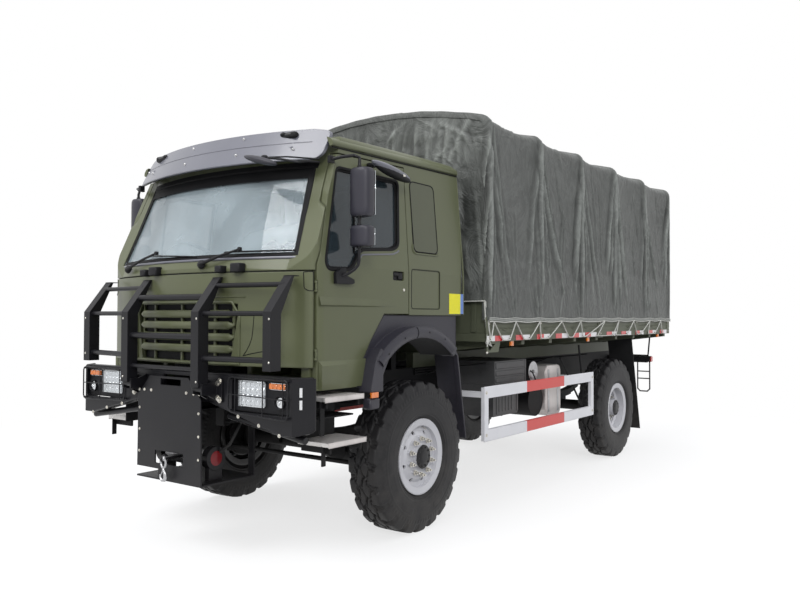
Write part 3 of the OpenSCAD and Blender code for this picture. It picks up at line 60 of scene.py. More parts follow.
class Shape:
    """Collects many forms into one piece. Points are given in the working frame."""

    def __init__(self):
        self.verts, self.faces, self.mats, self.mat = [], [], [], 0

    def use(self, index):
        self.mat = index
        return self

    def add(self, verts, faces):
        base = len(self.verts)
        self.verts += [tuple(float(c) for c in v) for v in verts]
        self.faces += [[base + i for i in f] for f in faces]
        self.mats += [self.mat] * len(faces)

    def box(self, lo, hi, r=0.0):
        """A box whose edges are cut by a chamfer r."""
        lo, hi = [min(a, b) for a, b in zip(lo, hi)], [max(a, b) for a, b in zip(lo, hi)]
        r = min(r, *[0.49 * (b - a) for a, b in zip(lo, hi)])
        if r <= 0:
            self.prism([(lo[0], lo[1]), (hi[0], lo[1]), (hi[0], hi[1]), (lo[0], hi[1])], "z", lo[2], hi[2])
            return
        verts, index = [], {}
        for corner in itertools.product((0, 1), repeat=3):
            for axis in range(3):
                p = [(hi if c else lo)[k] + (0 if k == axis else (-r if c else r)) for k, c in enumerate(corner)]
                index[(corner, axis)] = len(verts)
                verts.append(p)
        faces = []
        for axis in range(3):
            a, b = [k for k in range(3) if k != axis]
            for side in (0, 1):
                ring = []
                for ca, cb in ((0, 0), (1, 0), (1, 1), (0, 1)):
                    c = [0, 0, 0]
                    c[axis], c[a], c[b] = side, ca, cb
                    ring.append(index[(tuple(c), axis)])
                faces.append(ring)
        for axis in range(3):
            a, b = [k for k in range(3) if k != axis]
            for ca in (0, 1):
                for cb in (0, 1):
                    c0, c1 = [0, 0, 0], [0, 0, 0]
                    c0[a], c0[b], c0[axis] = ca, cb, 0
                    c1[a], c1[b], c1[axis] = ca, cb, 1
                    faces.append([index[(tuple(c0), a)], index[(tuple(c1), a)], index[(tuple(c1), b)],
                                  index[(tuple(c0), b)]])
        for corner in itertools.product((0, 1), repeat=3):
            faces.append([index[(corner, 0)], index[(corner, 1)], index[(corner, 2)]])
        self.add(verts, faces)

    def prism(self, outline, axis, a, b):
        """An outline of (y,z), (x,z) or (x,y) places, thickened along the axis left over, from a to b."""
        n = len(outline)
        place = {"x": lambda u, v, w: (w, u, v), "y": lambda u, v, w: (u, w, v),
                 "z": lambda u, v, w: (u, v, w)}[axis]
        verts = [place(u, v, a) for u, v in outline] + [place(u, v, b) for u, v in outline]
        faces = [list(range(n)), list(range(2 * n - 1, n - 1, -1))]
        faces += [[i, (i + 1) % n, n + (i + 1) % n, n + i] for i in range(n)]
        self.add(verts, faces)

    def tube(self, points, r, n=10, closed=False):
        """A round bar along points; r is one radius or one for each point."""
        pts = [Vector(p) for p in points]
        m = len(pts)
        radii = [r] * m if not hasattr(r, "__len__") else list(r)
        tangents = []
        for i in range(m):
            p, q = pts[(i - 1) % m if closed else max(i - 1, 0)], pts[(i + 1) % m if closed else min(i + 1, m - 1)]
            t = (q - p)
            tangents.append(t.normalized() if t.length > 1e-9 else Vector((0, 0, 1)))
        side = tangents[0].orthogonal().normalized()
        verts = []
        for i in range(m):
            t = tangents[i]
            side = (side - t * side.dot(t)).normalized()
            up = t.cross(side)
            for k in range(n):
                a = 2 * math.pi * k / n
                verts.append(pts[i] + radii[i] * (math.cos(a) * side + math.sin(a) * up))
        faces = quads(m, n, loop=closed)
        if not closed:
            faces += [list(range(n - 1, -1, -1)), [(m - 1) * n + k for k in range(n)]]
        self.add(verts, faces)

    def cyl(self, a, b, r, n=20, r2=None):
        self.tube([a, b], [r, r if r2 is None else r2], n)

    def lathe(self, profile, centre, axis, n=48):
        """profile is (distance along the axis, radius); it is turned round an axis through centre."""
        axis = Vector(axis).normalized()
        side = axis.orthogonal().normalized()
        up = axis.cross(side)
        centre = Vector(centre)
        turns = [2 * math.pi * k / n for k in range(n)]
        verts = [centre + axis * d + rr * (math.cos(a) * side + math.sin(a) * up)
                 for d, rr in profile for a in turns]
        self.add(verts, quads(len(profile), n))

    def ball(self, centre, radii, n=16):
        radii = radii if hasattr(radii, "__len__") else (radii, radii, radii)
        rows = n // 2
        verts = [(centre[0], centre[1], centre[2] + radii[2])]
        for i in range(1, rows):
            a = math.pi * i / rows
            for k in range(n):
                b = 2 * math.pi * k / n
                verts.append((centre[0] + radii[0] * math.sin(a) * math.cos(b),
                              centre[1] + radii[1] * math.sin(a) * math.sin(b), centre[2] + radii[2] * math.cos(a)))
        verts.append((centre[0], centre[1], centre[2] - radii[2]))
        last = len(verts) - 1
        faces = [[0, 1 + k, 1 + (k + 1) % n] for k in range(n)]
        for i in range(rows - 2):
            for k in range(n):
                p, q = 1 + i * n, 1 + (i + 1) * n
                faces.append([p + k, q + k, q + (k + 1) % n, p + (k + 1) % n])
        p = 1 + (rows - 2) * n
        faces += [[last, p + (k + 1) % n, p + k] for k in range(n)]
        self.add(verts, faces)

    def grid(self, points):
        """points[i][j] is a grid of places, joined by quads."""
        self.add([p for row in points for p in row], quads(len(points), len(points[0]), ring=False))

    def bolt(self, at, axis, r=0.011, h=0.009):
        """A hexagon head on a washer."""
        at, axis = Vector(at), Vector(axis).normalized()
        self.cyl(at - axis * 0.001, at + axis * 0.002, r * 1.45, 16)
        self.cyl(at, at + axis * h, r, 6, r * 0.94)

    def bend(self, start, move):
        """Moves the points from the start-th on by a function of x, y and z."""
        self.verts[start:] = [tuple(move(*v)) for v in self.verts[start:]]

    def mirrored(self):
        """The same forms on the other side of the truck as well."""
        n = len(self.verts)
        self.verts += [(-x, y, z) for x, y, z in self.verts[:n]]
        self.faces += [[n + i for i in reversed(f)] for f in self.faces[:]]
        self.mats += self.mats[:]
        return self

    def flip(self):
        """Moves the forms to the other side of the truck."""
        self.verts = [(-x, y, z) for x, y, z in self.verts]
        self.faces = [list(reversed(f)) for f in self.faces]
        return self

    def make(self, name, slot, mats, body="truck", replaces=(), angle=38, bevel=0.0):
        """Turns the forms into one scene piece. Edges sharper than angle (degrees) stay sharp."""
        mesh = bpy.data.meshes.new(name)
        mesh.from_pydata([(x, y + FRONT_AXLE_Y, z) for x, y, z in self.verts], [], self.faces)
        mats = mats if isinstance(mats, (list, tuple)) else [mats]
        for m in mats:
            mesh.materials.append(m)
        mesh.polygons.foreach_set("material_index", [min(i, len(mats) - 1) for i in self.mats])
        mesh.validate()
        mesh.update()
        mesh.polygons.foreach_set("use_smooth", [True] * len(mesh.polygons))
        obj = bpy.data.objects.new(name, mesh)
        bpy.context.scene.collection.objects.link(obj)
        bm = bmesh.new()
        bm.from_mesh(mesh)
        bmesh.ops.recalc_face_normals(bm, faces=bm.faces)
        bm.to_mesh(mesh)
        bm.free()
        if bevel:
            mod = obj.modifiers.new("edge", "BEVEL")
            mod.width, mod.segments, mod.limit_method = bevel, 2, "ANGLE"
            mod.angle_limit = math.radians(40)
            mesh.set_sharp_from_angle(angle=math.radians(angle + 20))
        else:
            mesh.set_sharp_from_angle(angle=math.radians(angle))
        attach(obj, body)
        if replaces:
            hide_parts(*replaces)
        return obj


def shapes(count):
    return [Shape() for _ in range(count)]


def grid_piece(name, points, slot, mat, replaces=()):
    """A piece that is one sheet of points."""
    shape = Shape()
    shape.grid(points)
    return shape.make(name, slot, mat, replaces=replaces, angle=80)


# ---- surfaces of the cab, from the same sizes as the CAD -----------------------------------------------------

# Y of the cab's front in the middle, and the radius of its curve seen from above
CAB_FRONT, FRONT_R = -1.450, 3.0
# Radius of the sun visor's curve seen from above
VISOR_R = 2.8
# Half width at the doors, and the height above which the sides lean in
SIDE_X, LEAN_Z = 1.138, 2.05
# Centre and radius of the rounded corner between front and door
CORNER_X, CORNER_Y, CORNER_R = 1.018, -1.1441, 0.12
# Outer face of the bed's side rail
BED_X = 1.2505


def front_y(x):
    return CAB_FRONT + FRONT_R - math.sqrt(FRONT_R ** 2 - x * x)


def screen_y(x, z):
    return -1.420 + 0.4163 * (z - 2.112) + 1.0832 * (FRONT_R - math.sqrt(FRONT_R ** 2 - x * x))


def side_x(z):
    return SIDE_X - max(0.0, z - LEAN_Z) * 0.0879


def visor_y(x, z):
    return -1.293 + 0.5543 * (z - 2.794) + 1.1434 * (VISOR_R - math.sqrt(VISOR_R ** 2 - x * x))


# Places on these surfaces, a little outside them

def on_front(x, z, out=0.0):
    return (x, front_y(x) - out, z)


def on_screen(x, z, out=0.0):
    return (x, screen_y(x, z) - out, z)


def on_visor(x, z, out=0.0):
    return (x, visor_y(x, z) - out, z)


def on_side(y, z, out=0.0, s=1):
    return (s * (side_x(z) + out), y, z)


# ---- materials -----------------------------------------------------------------------------------------------

class Look:
    """Builds a node tree by short calls. Each input is a plain value or the output of another node."""

    def __init__(self, owner):
        owner.use_nodes = True
        self.tree = owner.node_tree
        self.bsdf = self.tree.nodes.get("Principled BSDF")

    def fill(self, target, inputs):
        for key, value in inputs.items():
            if isinstance(value, bpy.types.NodeSocket):
                self.tree.links.new(value, target.inputs[key])
            else:
                target.inputs[key].default_value = value

    def node(self, kind, inputs=None, **settings):
        new = self.tree.nodes.new("ShaderNode" + kind)
        for key, value in settings.items():
            setattr(new, key, value)
        self.fill(new, inputs or {})
        return new.outputs

    def math(self, operation, a, b=None, clamp=False):
        inputs = {0: a} if b is None else {0: a, 1: b}
        return self.node("Math", inputs, operation=operation, use_clamp=clamp)[0]

    def span(self, value, lo, hi, to_lo=0.0, to_hi=1.0, kind="LINEAR"):
        """Maps lo..hi to to_lo..to_hi."""
        return self.node("MapRange", {"Value": value, "From Min": lo, "From Max": hi, "To Min": to_lo,
                                      "To Max": to_hi},
                         interpolation_type=kind)["Result"]

    def blend(self, share, a, b):
        """Mixes two colours, or colour outputs."""
        a, b = [tuple(c) + (1,) if isinstance(c, (tuple, list)) else c for c in (a, b)]
        mixer = self.tree.nodes.new("ShaderNodeMix")
        mixer.data_type = "RGBA"
        # The colour sockets of a Mix node are its inputs 6 and 7 and its output 2
        self.fill(mixer, {0: share, 6: a, 7: b})
        return mixer.outputs[2]

    def noise(self, vector, scale, detail, rough=0.5, distortion=0.0):
        return self.node("TexNoise", {"Vector": vector, "Scale": scale, "Detail": detail, "Roughness": rough,
                                      "Distortion": distortion})["Fac"]

    def bump(self, height, strength, distance, invert=True):
        return self.node("Bump", {"Strength": strength, "Distance": distance, "Height": height},
                         invert=invert)["Normal"]

    def place(self):
        return self.node("TexCoord")["Object"]

    def base(self):
        """What feeds the base colour so far."""
        return self.bsdf.inputs["Base Color"].links[0].from_socket


ROAD_DUST, BARE_METAL = (0.22, 0.20, 0.17), (0.35, 0.35, 0.34)


def finish_of(name, color, rough=0.5, metal=0.0, vary=0.10, vary_scale=2.5, bump=0.15, bump_scale=300.0,
              bump_depth=0.001, dust=0.0, dust_top=1.1, coat=0.0, round_edges=0.0, sheen=0.0, stretch=(1, 1, 1),
              detail=6.0, spec=0.5, wear=0.0):
    """A paint, plastic, rubber, metal or cloth, varied by noise, with road dust towards the ground."""
    m = bpy.data.materials.new(name)
    look = Look(m)
    coord = look.place()
    place = look.node("Mapping", {"Vector": coord, "Scale": stretch})["Vector"]
    wide = look.noise(place, vary_scale, detail, 0.62)
    shade = look.span(wide, 0.3, 0.7)
    out = look.blend(shade, [c * (1 - vary) for c in color], [min(1, c * (1 + vary)) for c in color])
    if dust:
        height = look.node("SeparateXYZ", {"Vector": coord})["Z"]
        low = look.span(height, dust_top, 0.0, 0.0, dust)
        out = look.blend(look.math("MULTIPLY", low, shade), out, ROAD_DUST)
    if wear:
        scuffs = look.span(look.noise(coord, 38.0, 8.0, 0.7), 0.62, 0.72, 0.0, wear)
        out = look.blend(scuffs, out, BARE_METAL)
    relief = {"Strength": bump, "Distance": bump_depth, "Height": look.noise(place, bump_scale, 3.0)}
    if round_edges:
        relief["Normal"] = look.node("Bevel", {"Radius": round_edges}, samples=4)["Normal"]
    look.fill(look.bsdf, {
        "Base Color": out, "Roughness": look.span(wide, 0.0, 1.0, max(0.03, rough - 0.06), min(1, rough + 0.08)),
        "Metallic": metal, "Specular IOR Level": spec, "Coat Weight": coat, "Coat Roughness": 0.12,
        "Sheen Weight": sheen, "Sheen Roughness": 0.6, "Normal": look.node("Bump", relief)["Normal"]})
    m.diffuse_color = tuple(color) + (1,)
    return m


def glass_of(name, color, alpha, rough=0.03, streak=0.0):
    """Thin glass: mostly clear, reflecting at its own gloss, with a faint film of dust."""
    m = bpy.data.materials.new(name)
    look = Look(m)
    film = look.noise(look.place(), 1.7, 6.0, distortion=0.8)
    look.fill(look.bsdf, {
        "Alpha": look.span(film, 0.3, 0.75, alpha, min(1.0, alpha + streak)),
        "Base Color": look.blend(film, [c * 0.9 for c in color], color),
        "Roughness": rough, "Specular IOR Level": 0.55, "Coat Weight": 0.15, "Coat Roughness": 0.03})
    return m


def banded(name, bands, axis, inside, outside, rough=0.35):
    """Paint or tape with coloured bands between pairs of places along an axis (0 X, 1 Y, 2 Z)."""
    m = finish_of(name, outside, rough=rough, vary=0.05, vary_scale=6, bump=0.1, bump_scale=90, dust=0.10,
                  dust_top=1.3)
    look = Look(m)
    at = look.node("SeparateXYZ", {"Vector": look.place()})[axis]
    total = 0.0
    for a, b in bands:
        both = look.math("MULTIPLY", look.math("GREATER_THAN", at, a), look.math("LESS_THAN", at, b))
        total = look.math("ADD", total, both, clamp=True)
    look.fill(look.bsdf, {"Base Color": look.blend(total, look.base(), inside)})
    return m


def lens_of(name, color):
    """A moulded lens: coloured, with a fine ribbed pattern under a smooth coat."""
    return finish_of(name, color, rough=0.12, vary=0.25, vary_scale=60, bump=0.6, bump_scale=120.0,
                     bump_depth=0.003, coat=1.0)


OLIVE = (0.106, 0.117, 0.060)
olive = finish_of("olive_paint_look", OLIVE, rough=0.36, vary=0.05, vary_scale=1.6, bump=0.06, bump_scale=160,
                  dust=0.14, dust_top=1.5, coat=0.12, spec=0.38, round_edges=0.012)
blank_olive = finish_of("side_window_blank_look", (0.072, 0.080, 0.045), rough=0.30, vary=0.07, vary_scale=3,
                        bump=0.06, bump_scale=160, coat=0.12, spec=0.35)
olive_edge = finish_of("olive_paint_pressed", OLIVE, rough=0.38, vary=0.06, vary_scale=4, bump=0.06, bump_scale=160,
                       coat=0.12, spec=0.38)
bed_olive = finish_of("bed_paint_look", (0.096, 0.106, 0.070), rough=0.45, spec=0.3, vary=0.12, vary_scale=3,
                      bump=0.12, bump_scale=120, dust=0.2, dust_top=1.8, round_edges=0.004, wear=0.12)
black_coat = finish_of("black_coat_look", (0.009, 0.0088, 0.011), rough=0.38, spec=0.24, vary=0.12, vary_scale=4,
                       bump=0.25, bump_scale=420, bump_depth=0.0008, dust=0.08, round_edges=0.006, coat=0.06)
chassis = finish_of("chassis_look", (0.007, 0.007, 0.008), rough=0.6, spec=0.2, vary=0.3, vary_scale=5, bump=0.3,
                    bump_scale=140, dust=0.12, round_edges=0.004)
visor_grey = finish_of("visor_plastic", (0.150, 0.153, 0.184), rough=0.32, vary=0.05, vary_scale=3, bump=0.12,
                       bump_scale=700, bump_depth=0.0005, coat=0.3, round_edges=0.008)
arch_plastic = finish_of("arch_plastic", (0.030, 0.029, 0.040), rough=0.40, spec=0.4, vary=0.10, vary_scale=4,
                         bump=0.35, bump_scale=800, bump_depth=0.0006, dust=0.15, dust_top=1.6, round_edges=0.014)
black_plastic = finish_of("black_plastic_look", (0.010, 0.010, 0.012), rough=0.5, spec=0.25, vary=0.15,
                          vary_scale=6, bump=0.35, bump_scale=700, bump_depth=0.0006, round_edges=0.004)
box_plastic = finish_of("box_plastic_look", (0.060, 0.060, 0.062), rough=0.5, vary=0.18, vary_scale=6, bump=0.35,
                        bump_scale=500, bump_depth=0.0008, round_edges=0.006, dust=0.25)
rubber = finish_of("rubber_look", (0.012, 0.012, 0.013), rough=0.68, spec=0.25, vary=0.22, vary_scale=9, bump=0.35,
                   bump_scale=260, dust=0.30, dust_top=1.0)
tyre_rubber = finish_of("tyre_rubber_look", (0.010, 0.0098, 0.0115), rough=0.52, spec=0.30, vary=0.25, vary_scale=7,
                        bump=0.30, bump_scale=240, bump_depth=0.0015, dust=0.16, dust_top=1.2)
rim_silver = finish_of("rim_paint_look", (0.60, 0.60, 0.63), rough=0.28, metal=0.25, vary=0.08, vary_scale=9,
                       bump=0.10, bump_scale=200, dust=0.10, coat=0.3, round_edges=0.004)
zinc = finish_of("zinc_look", (0.62, 0.60, 0.55), rough=0.30, metal=0.9, vary=0.2, vary_scale=30, bump=0.2,
                 bump_scale=300)
chrome = finish_of("reflector_look", (0.66, 0.68, 0.70), rough=0.10, metal=1.0, vary=0.05, vary_scale=40, bump=0.15,
                   bump_scale=60, bump_depth=0.004)
steel = finish_of("steel_wire_look", (0.45, 0.45, 0.46), rough=0.35, metal=0.9, vary=0.2, vary_scale=40, bump=0.5,
                  bump_scale=600)
winch_red = finish_of("winch_red_look", (0.20, 0.006, 0.010), rough=0.4, spec=0.3, vary=0.2, vary_scale=12,
                      bump=0.2, bump_scale=200, coat=0.3)
alloy = finish_of("tank_alloy_look", (0.66, 0.62, 0.60), rough=0.40, metal=0.40, vary=0.14, vary_scale=5, bump=0.12,
                  bump_scale=140, stretch=(1, 1, 0.2), dust=0.12, round_edges=0.02)
seat_cloth = finish_of("seat_cloth", (0.055, 0.060, 0.060), rough=0.85, vary=0.2, vary_scale=18, bump=0.6,
                       bump_scale=700, sheen=0.4)
trim_dark = finish_of("dashboard_look", (0.045, 0.046, 0.050), rough=0.55, vary=0.12, vary_scale=8, bump=0.4,
                      bump_scale=600, round_edges=0.01)
lining = finish_of("cab_lining", (0.46, 0.48, 0.47), rough=0.8, vary=0.05, vary_scale=3, bump=0.0)
rope_white = finish_of("rope_look", (0.62, 0.62, 0.58), rough=0.8, vary=0.15, vary_scale=30, bump=0.9,
                       bump_scale=420, bump_depth=0.003)
webbing = finish_of("hem_webbing", (0.30, 0.31, 0.29), rough=0.85, vary=0.15, vary_scale=25, bump=0.7,
                    bump_scale=380, bump_depth=0.002)
yellow = finish_of("yellow_patch", (0.90, 0.84, 0.03), rough=0.45, vary=0.04, vary_scale=14, bump=0.15,
                   bump_scale=160)
blue = finish_of("blue_patch", (0.16, 0.27, 0.62), rough=0.45, vary=0.06, vary_scale=14, bump=0.15, bump_scale=160)
amber = lens_of("amber_lens", (0.90, 0.20, 0.012))
red_lens = lens_of("red_lens", (0.55, 0.015, 0.015))
clear_lens = glass_of("clear_lens", (0.80, 0.84, 0.87), 0.10, rough=0.04, streak=0.1)
screen_glass = glass_of("screen_glass", (0.58, 0.69, 0.74), 0.25, streak=0.20)
door_pane = glass_of("door_glass_look", (0.035, 0.050, 0.060), 0.62, streak=0.14)
reflector_white = finish_of("reflector_white", (0.80, 0.80, 0.80), rough=0.3, vary=0.05, vary_scale=40, bump=0.5,
                            bump_scale=500)
card_black = finish_of("seal_rubber", (0.006, 0.006, 0.007), rough=0.6, spec=0.2, vary=0.2, vary_scale=20, bump=0.2,
                       bump_scale=300)
mirror_face = finish_of("mirror_face", (0.75, 0.78, 0.80), rough=0.04, metal=1.0, vary=0.03, vary_scale=20,
                        bump=0.02)

GUARD_RED = (FRONT_AXLE_Y + 1.636, FRONT_AXLE_Y + 2.475)
guard_paint = banded("guard_paint", [GUARD_RED], 1, (0.68, 0.060, 0.050), (0.80, 0.80, 0.83), rough=0.32)

# Checker plate of the steps
checker = finish_of("checker_look", (0.70, 0.68, 0.66), rough=0.30, metal=0.55, vary=0.10, vary_scale=20, bump=0.1,
                    bump_scale=200)
plate = Look(checker)
dimples = plate.node("TexVoronoi", {"Scale": 38.0, "Vector": plate.place()})["Distance"]
plate.fill(plate.bsdf, {"Normal": plate.bump(dimples, 0.9, 0.006)})


def canvas_material(name, color):
    """Proofed canvas: weave and crumples, with painted highlights on the crumple crests, painted light on the fold
    crests and painted shade in the fold valleys.
    """
    m = finish_of(name, color, rough=0.44, vary=0.22, vary_scale=2.2, bump=0.30, bump_scale=520, bump_depth=0.0010,
                  spec=0.36, detail=9.0)
    look = Look(m)
    slant = look.node("Mapping", {"Vector": look.place(), "Scale": (1.25, 1.25, 0.8), "Rotation": (0.35, 0.0, 0.0)})
    crumple = look.noise(slant["Vector"], 3.0, 5.0, 0.60, 1.9)
    sharp = look.math("ABSOLUTE", look.math("SUBTRACT", crumple, 0.5))
    weave = look.bsdf.inputs["Normal"].links[0].from_node
    look.fill(weave, {"Normal": look.bump(sharp, 0.45, 0.08)})
    # Painted highlight: the colour is up to 1.9 times lighter along the crests of the crumples
    crest_highlight = look.blend(look.span(sharp, 0.0, 0.05, 0.30, 0.0), look.base(), [min(1, c * 1.9) for c in color])
    # Painted light and shade of the folds: up to 2.4 times lighter on the crests and as much darker in the valleys
    tone = look.math("POWER", 2.4, look.node("Attribute", attribute_name="fold_light_shade")["Fac"])
    look.fill(look.bsdf, {"Base Color": look.node("VectorMath", {0: crest_highlight, "Scale": tone}, operation="SCALE")[0]})
    return m


canvas = canvas_material("canvas_look", (0.088, 0.093, 0.087))


def give(node, mat):
    """A CAD node gets a better finish in every slot it has."""
    obj = NODES[node]
    if not obj.material_slots:
        obj.data.materials.append(mat)
    for s in obj.material_slots:
        s.link = "OBJECT"
        s.material = mat


LOOKS = {
    olive: ["cab_shell", "front_panel", "door_left", "door_right"],
    bed_olive: ["cargo_bed", "side_boards", "tailgate", "canopy_bows"],
    black_coat: ["front_bumper", "winch_guard", "bull_bar", "winch"],
    chassis: ["chassis_frame", "front_axle", "rear_axle", "leaf_springs", "powertrain", "cab_steps", "air_tanks",
              "rear_bumper", "knuckle_left", "knuckle_right", "tie_rod"],
    visor_grey: ["sun_visor"], arch_plastic: ["cab_fenders"], box_plastic: ["battery_box"],
    chrome: ["headlamps"], amber: ["marker_lamps"], red_lens: ["tail_lamps"], screen_glass: ["windscreen"],
    door_pane: ["door_glass_left", "door_glass_right"], trim_dark: ["dashboard"], checker: ["step_treads"],
    rubber: ["rear_mudguards"], guard_paint: ["side_guards"], alloy: ["fuel_tank"],
    rim_silver: ["rim_front_left", "rim_front_right", "rim_rear_left", "rim_rear_right"],
    black_plastic: ["mirrors_left", "mirrors_right"],
}
for look, names in LOOKS.items():
    for name in names:
        give(name, look)

# The barrels of the rims are dark on the side that faces the truck
for end, depth in (("front", 0.075), ("rear", -0.020)):
    for hand, s in (("left", 1), ("right", -1)):
        node = f"rim_{end}_{hand}"
        near = min(corner[0] for corner in NODES[node].bound_box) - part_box(node)[0][0]
        edge = near + s * (1.010 + depth)
        give(node, banded(f"rim_paint_{end}_{hand}", [(edge - 1, edge) if s > 0 else (edge, edge + 1)], 0,
                          (0.020, 0.019, 0.019), (0.60, 0.60, 0.63), rough=0.30))


# ---- camera --------------------------------------------------------------------------------------------------

# Fitted to the photo: place, angles in degrees, and the focal length in pixels
FOCAL_PX, PHOTO_PX, SENSOR_MM = 778.96, 800, 36
CAM_AT = Vector((4.669, -5.083 + FRONT_AXLE_Y, 1.698))
YAW, PITCH, ROLL = (math.radians(a) for a in (36.344, 1.2304, 0.1885))
ahead = Vector((-math.sin(YAW) * math.cos(PITCH), math.cos(YAW) * math.cos(PITCH), math.sin(PITCH)))
right0 = Vector((math.cos(YAW), math.sin(YAW), 0))
up0 = right0.cross(ahead)
cam_right = math.cos(ROLL) * right0 + math.sin(ROLL) * up0
cam_up = -math.sin(ROLL) * right0 + math.cos(ROLL) * up0
cam_data = bpy.data.cameras.new("photo_camera")
cam_data.lens, cam_data.sensor_width = FOCAL_PX / PHOTO_PX * SENSOR_MM, SENSOR_MM
cam_data.clip_end = 200
camera = bpy.data.objects.new("photo_camera", cam_data)
turn = Matrix((cam_right, cam_up, -ahead)).transposed().to_4x4()
camera.matrix_world = Matrix.Translation(CAM_AT) @ turn
bpy.context.scene.collection.objects.link(camera)
bpy.context.scene.camera = camera


# ---- canvas cover --------------------------------------------------------------------------------------------

HALF_W, HEM_Z, CROWN, EAVES = 1.259, 1.672, 3.640, 3.440
Y_FRONT, Y_BACK = 0.853, 5.903
BOWS = [0.889 + i * (5.871 - 0.889) / 5 for i in range(6)]
HEM_POINTS = [0.93, 1.34, 1.83, 2.34, 2.82, 3.49, 3.93, 4.44, 5.03, 5.48]


def section_line():
    """Half of the cover's section from the hem up over the shoulder to the ridge, as (x, z)."""
    corner = 0.105
    pts = [(HALF_W, z) for z in np.linspace(HEM_Z, EAVES - 0.055, 60)]
    cx, cz = HALF_W - corner, EAVES - 0.055
    for a in np.linspace(0, 78, 14)[1:]:
        r = math.radians(a)
        pts.append((cx + corner * math.cos(r), cz + corner * math.sin(r)))
    x0, z0 = pts[-1]
    for s in np.linspace(0, 1, 60)[1:]:
        x = x0 * (1 - s)
        pts.append((x, CROWN - (CROWN - z0) * (x / x0) ** 2.1))
    return pts


def resample(pts, count):
    """The line in equal steps, how far along it each step is, and its whole length."""
    p = np.array(pts)
    run = np.concatenate([[0], np.cumsum(np.hypot(*np.diff(p, axis=0).T))])
    at = np.linspace(0, run[-1], count)
    return np.stack([np.interp(at, run, p[:, 0]), np.interp(at, run, p[:, 1])], 1), at, run[-1]


def wave_noise(u, v, scale, octaves, seed, roughness=0.55):
    """Smooth noise of two coordinates, from seeded waves."""
    r = np.random.default_rng(seed)
    total, amp = np.zeros_like(u), 1.0
    norm = 0.0
    for o in range(octaves):
        for _ in range(5):
            ang, ph, f = r.uniform(0, math.pi), r.uniform(0, 6.28), scale * 2 ** o * r.uniform(0.7, 1.4)
            total += amp * np.sin(f * (u * math.cos(ang) + v * math.sin(ang)) + ph)
        norm += amp * 2.2
        amp *= roughness
    return total / norm


def creases(u, v, folds):
    """Height of a set of folds: each is (u0, v0, u1, v1, width, height), rising to a soft ridge along its line."""
    out = np.zeros_like(u)
    for u0, v0, u1, v1, width, height in folds:
        du, dv = u1 - u0, v1 - v0
        len2 = du * du + dv * dv
        t = ((u - u0) * du + (v - v0) * dv) / len2
        along = np.clip(t, 0, 1)
        across = ((u - u0) * dv - (v - v0) * du) / math.sqrt(len2)
        bow = 0.25 * width * np.sin(math.pi * along * 1.7 + u0 * 9)
        a = np.abs(across + bow) / width
        ends = np.clip(np.minimum(t + 0.06, 1.06 - t) / 0.30, 0, 1)
        ends = ends * ends * (3 - 2 * ends)
        out += height * ends * (np.exp(-a * 1.5) - 0.32 * np.exp(-((a - 1.7) ** 2) / 0.8))
    return out


def paint_fold_shading(obj, raised):
    """Keeps each point's fold height, from -1 in a valley to 1 on a crest, for the painted light on the crests and the
    painted shade in the valleys.
    """
    tone = obj.data.attributes.new("fold_light_shade", "FLOAT", "POINT")
    tone.data.foreach_set("value", np.clip(raised / 0.018, -1, 1).astype(np.float32).ravel())


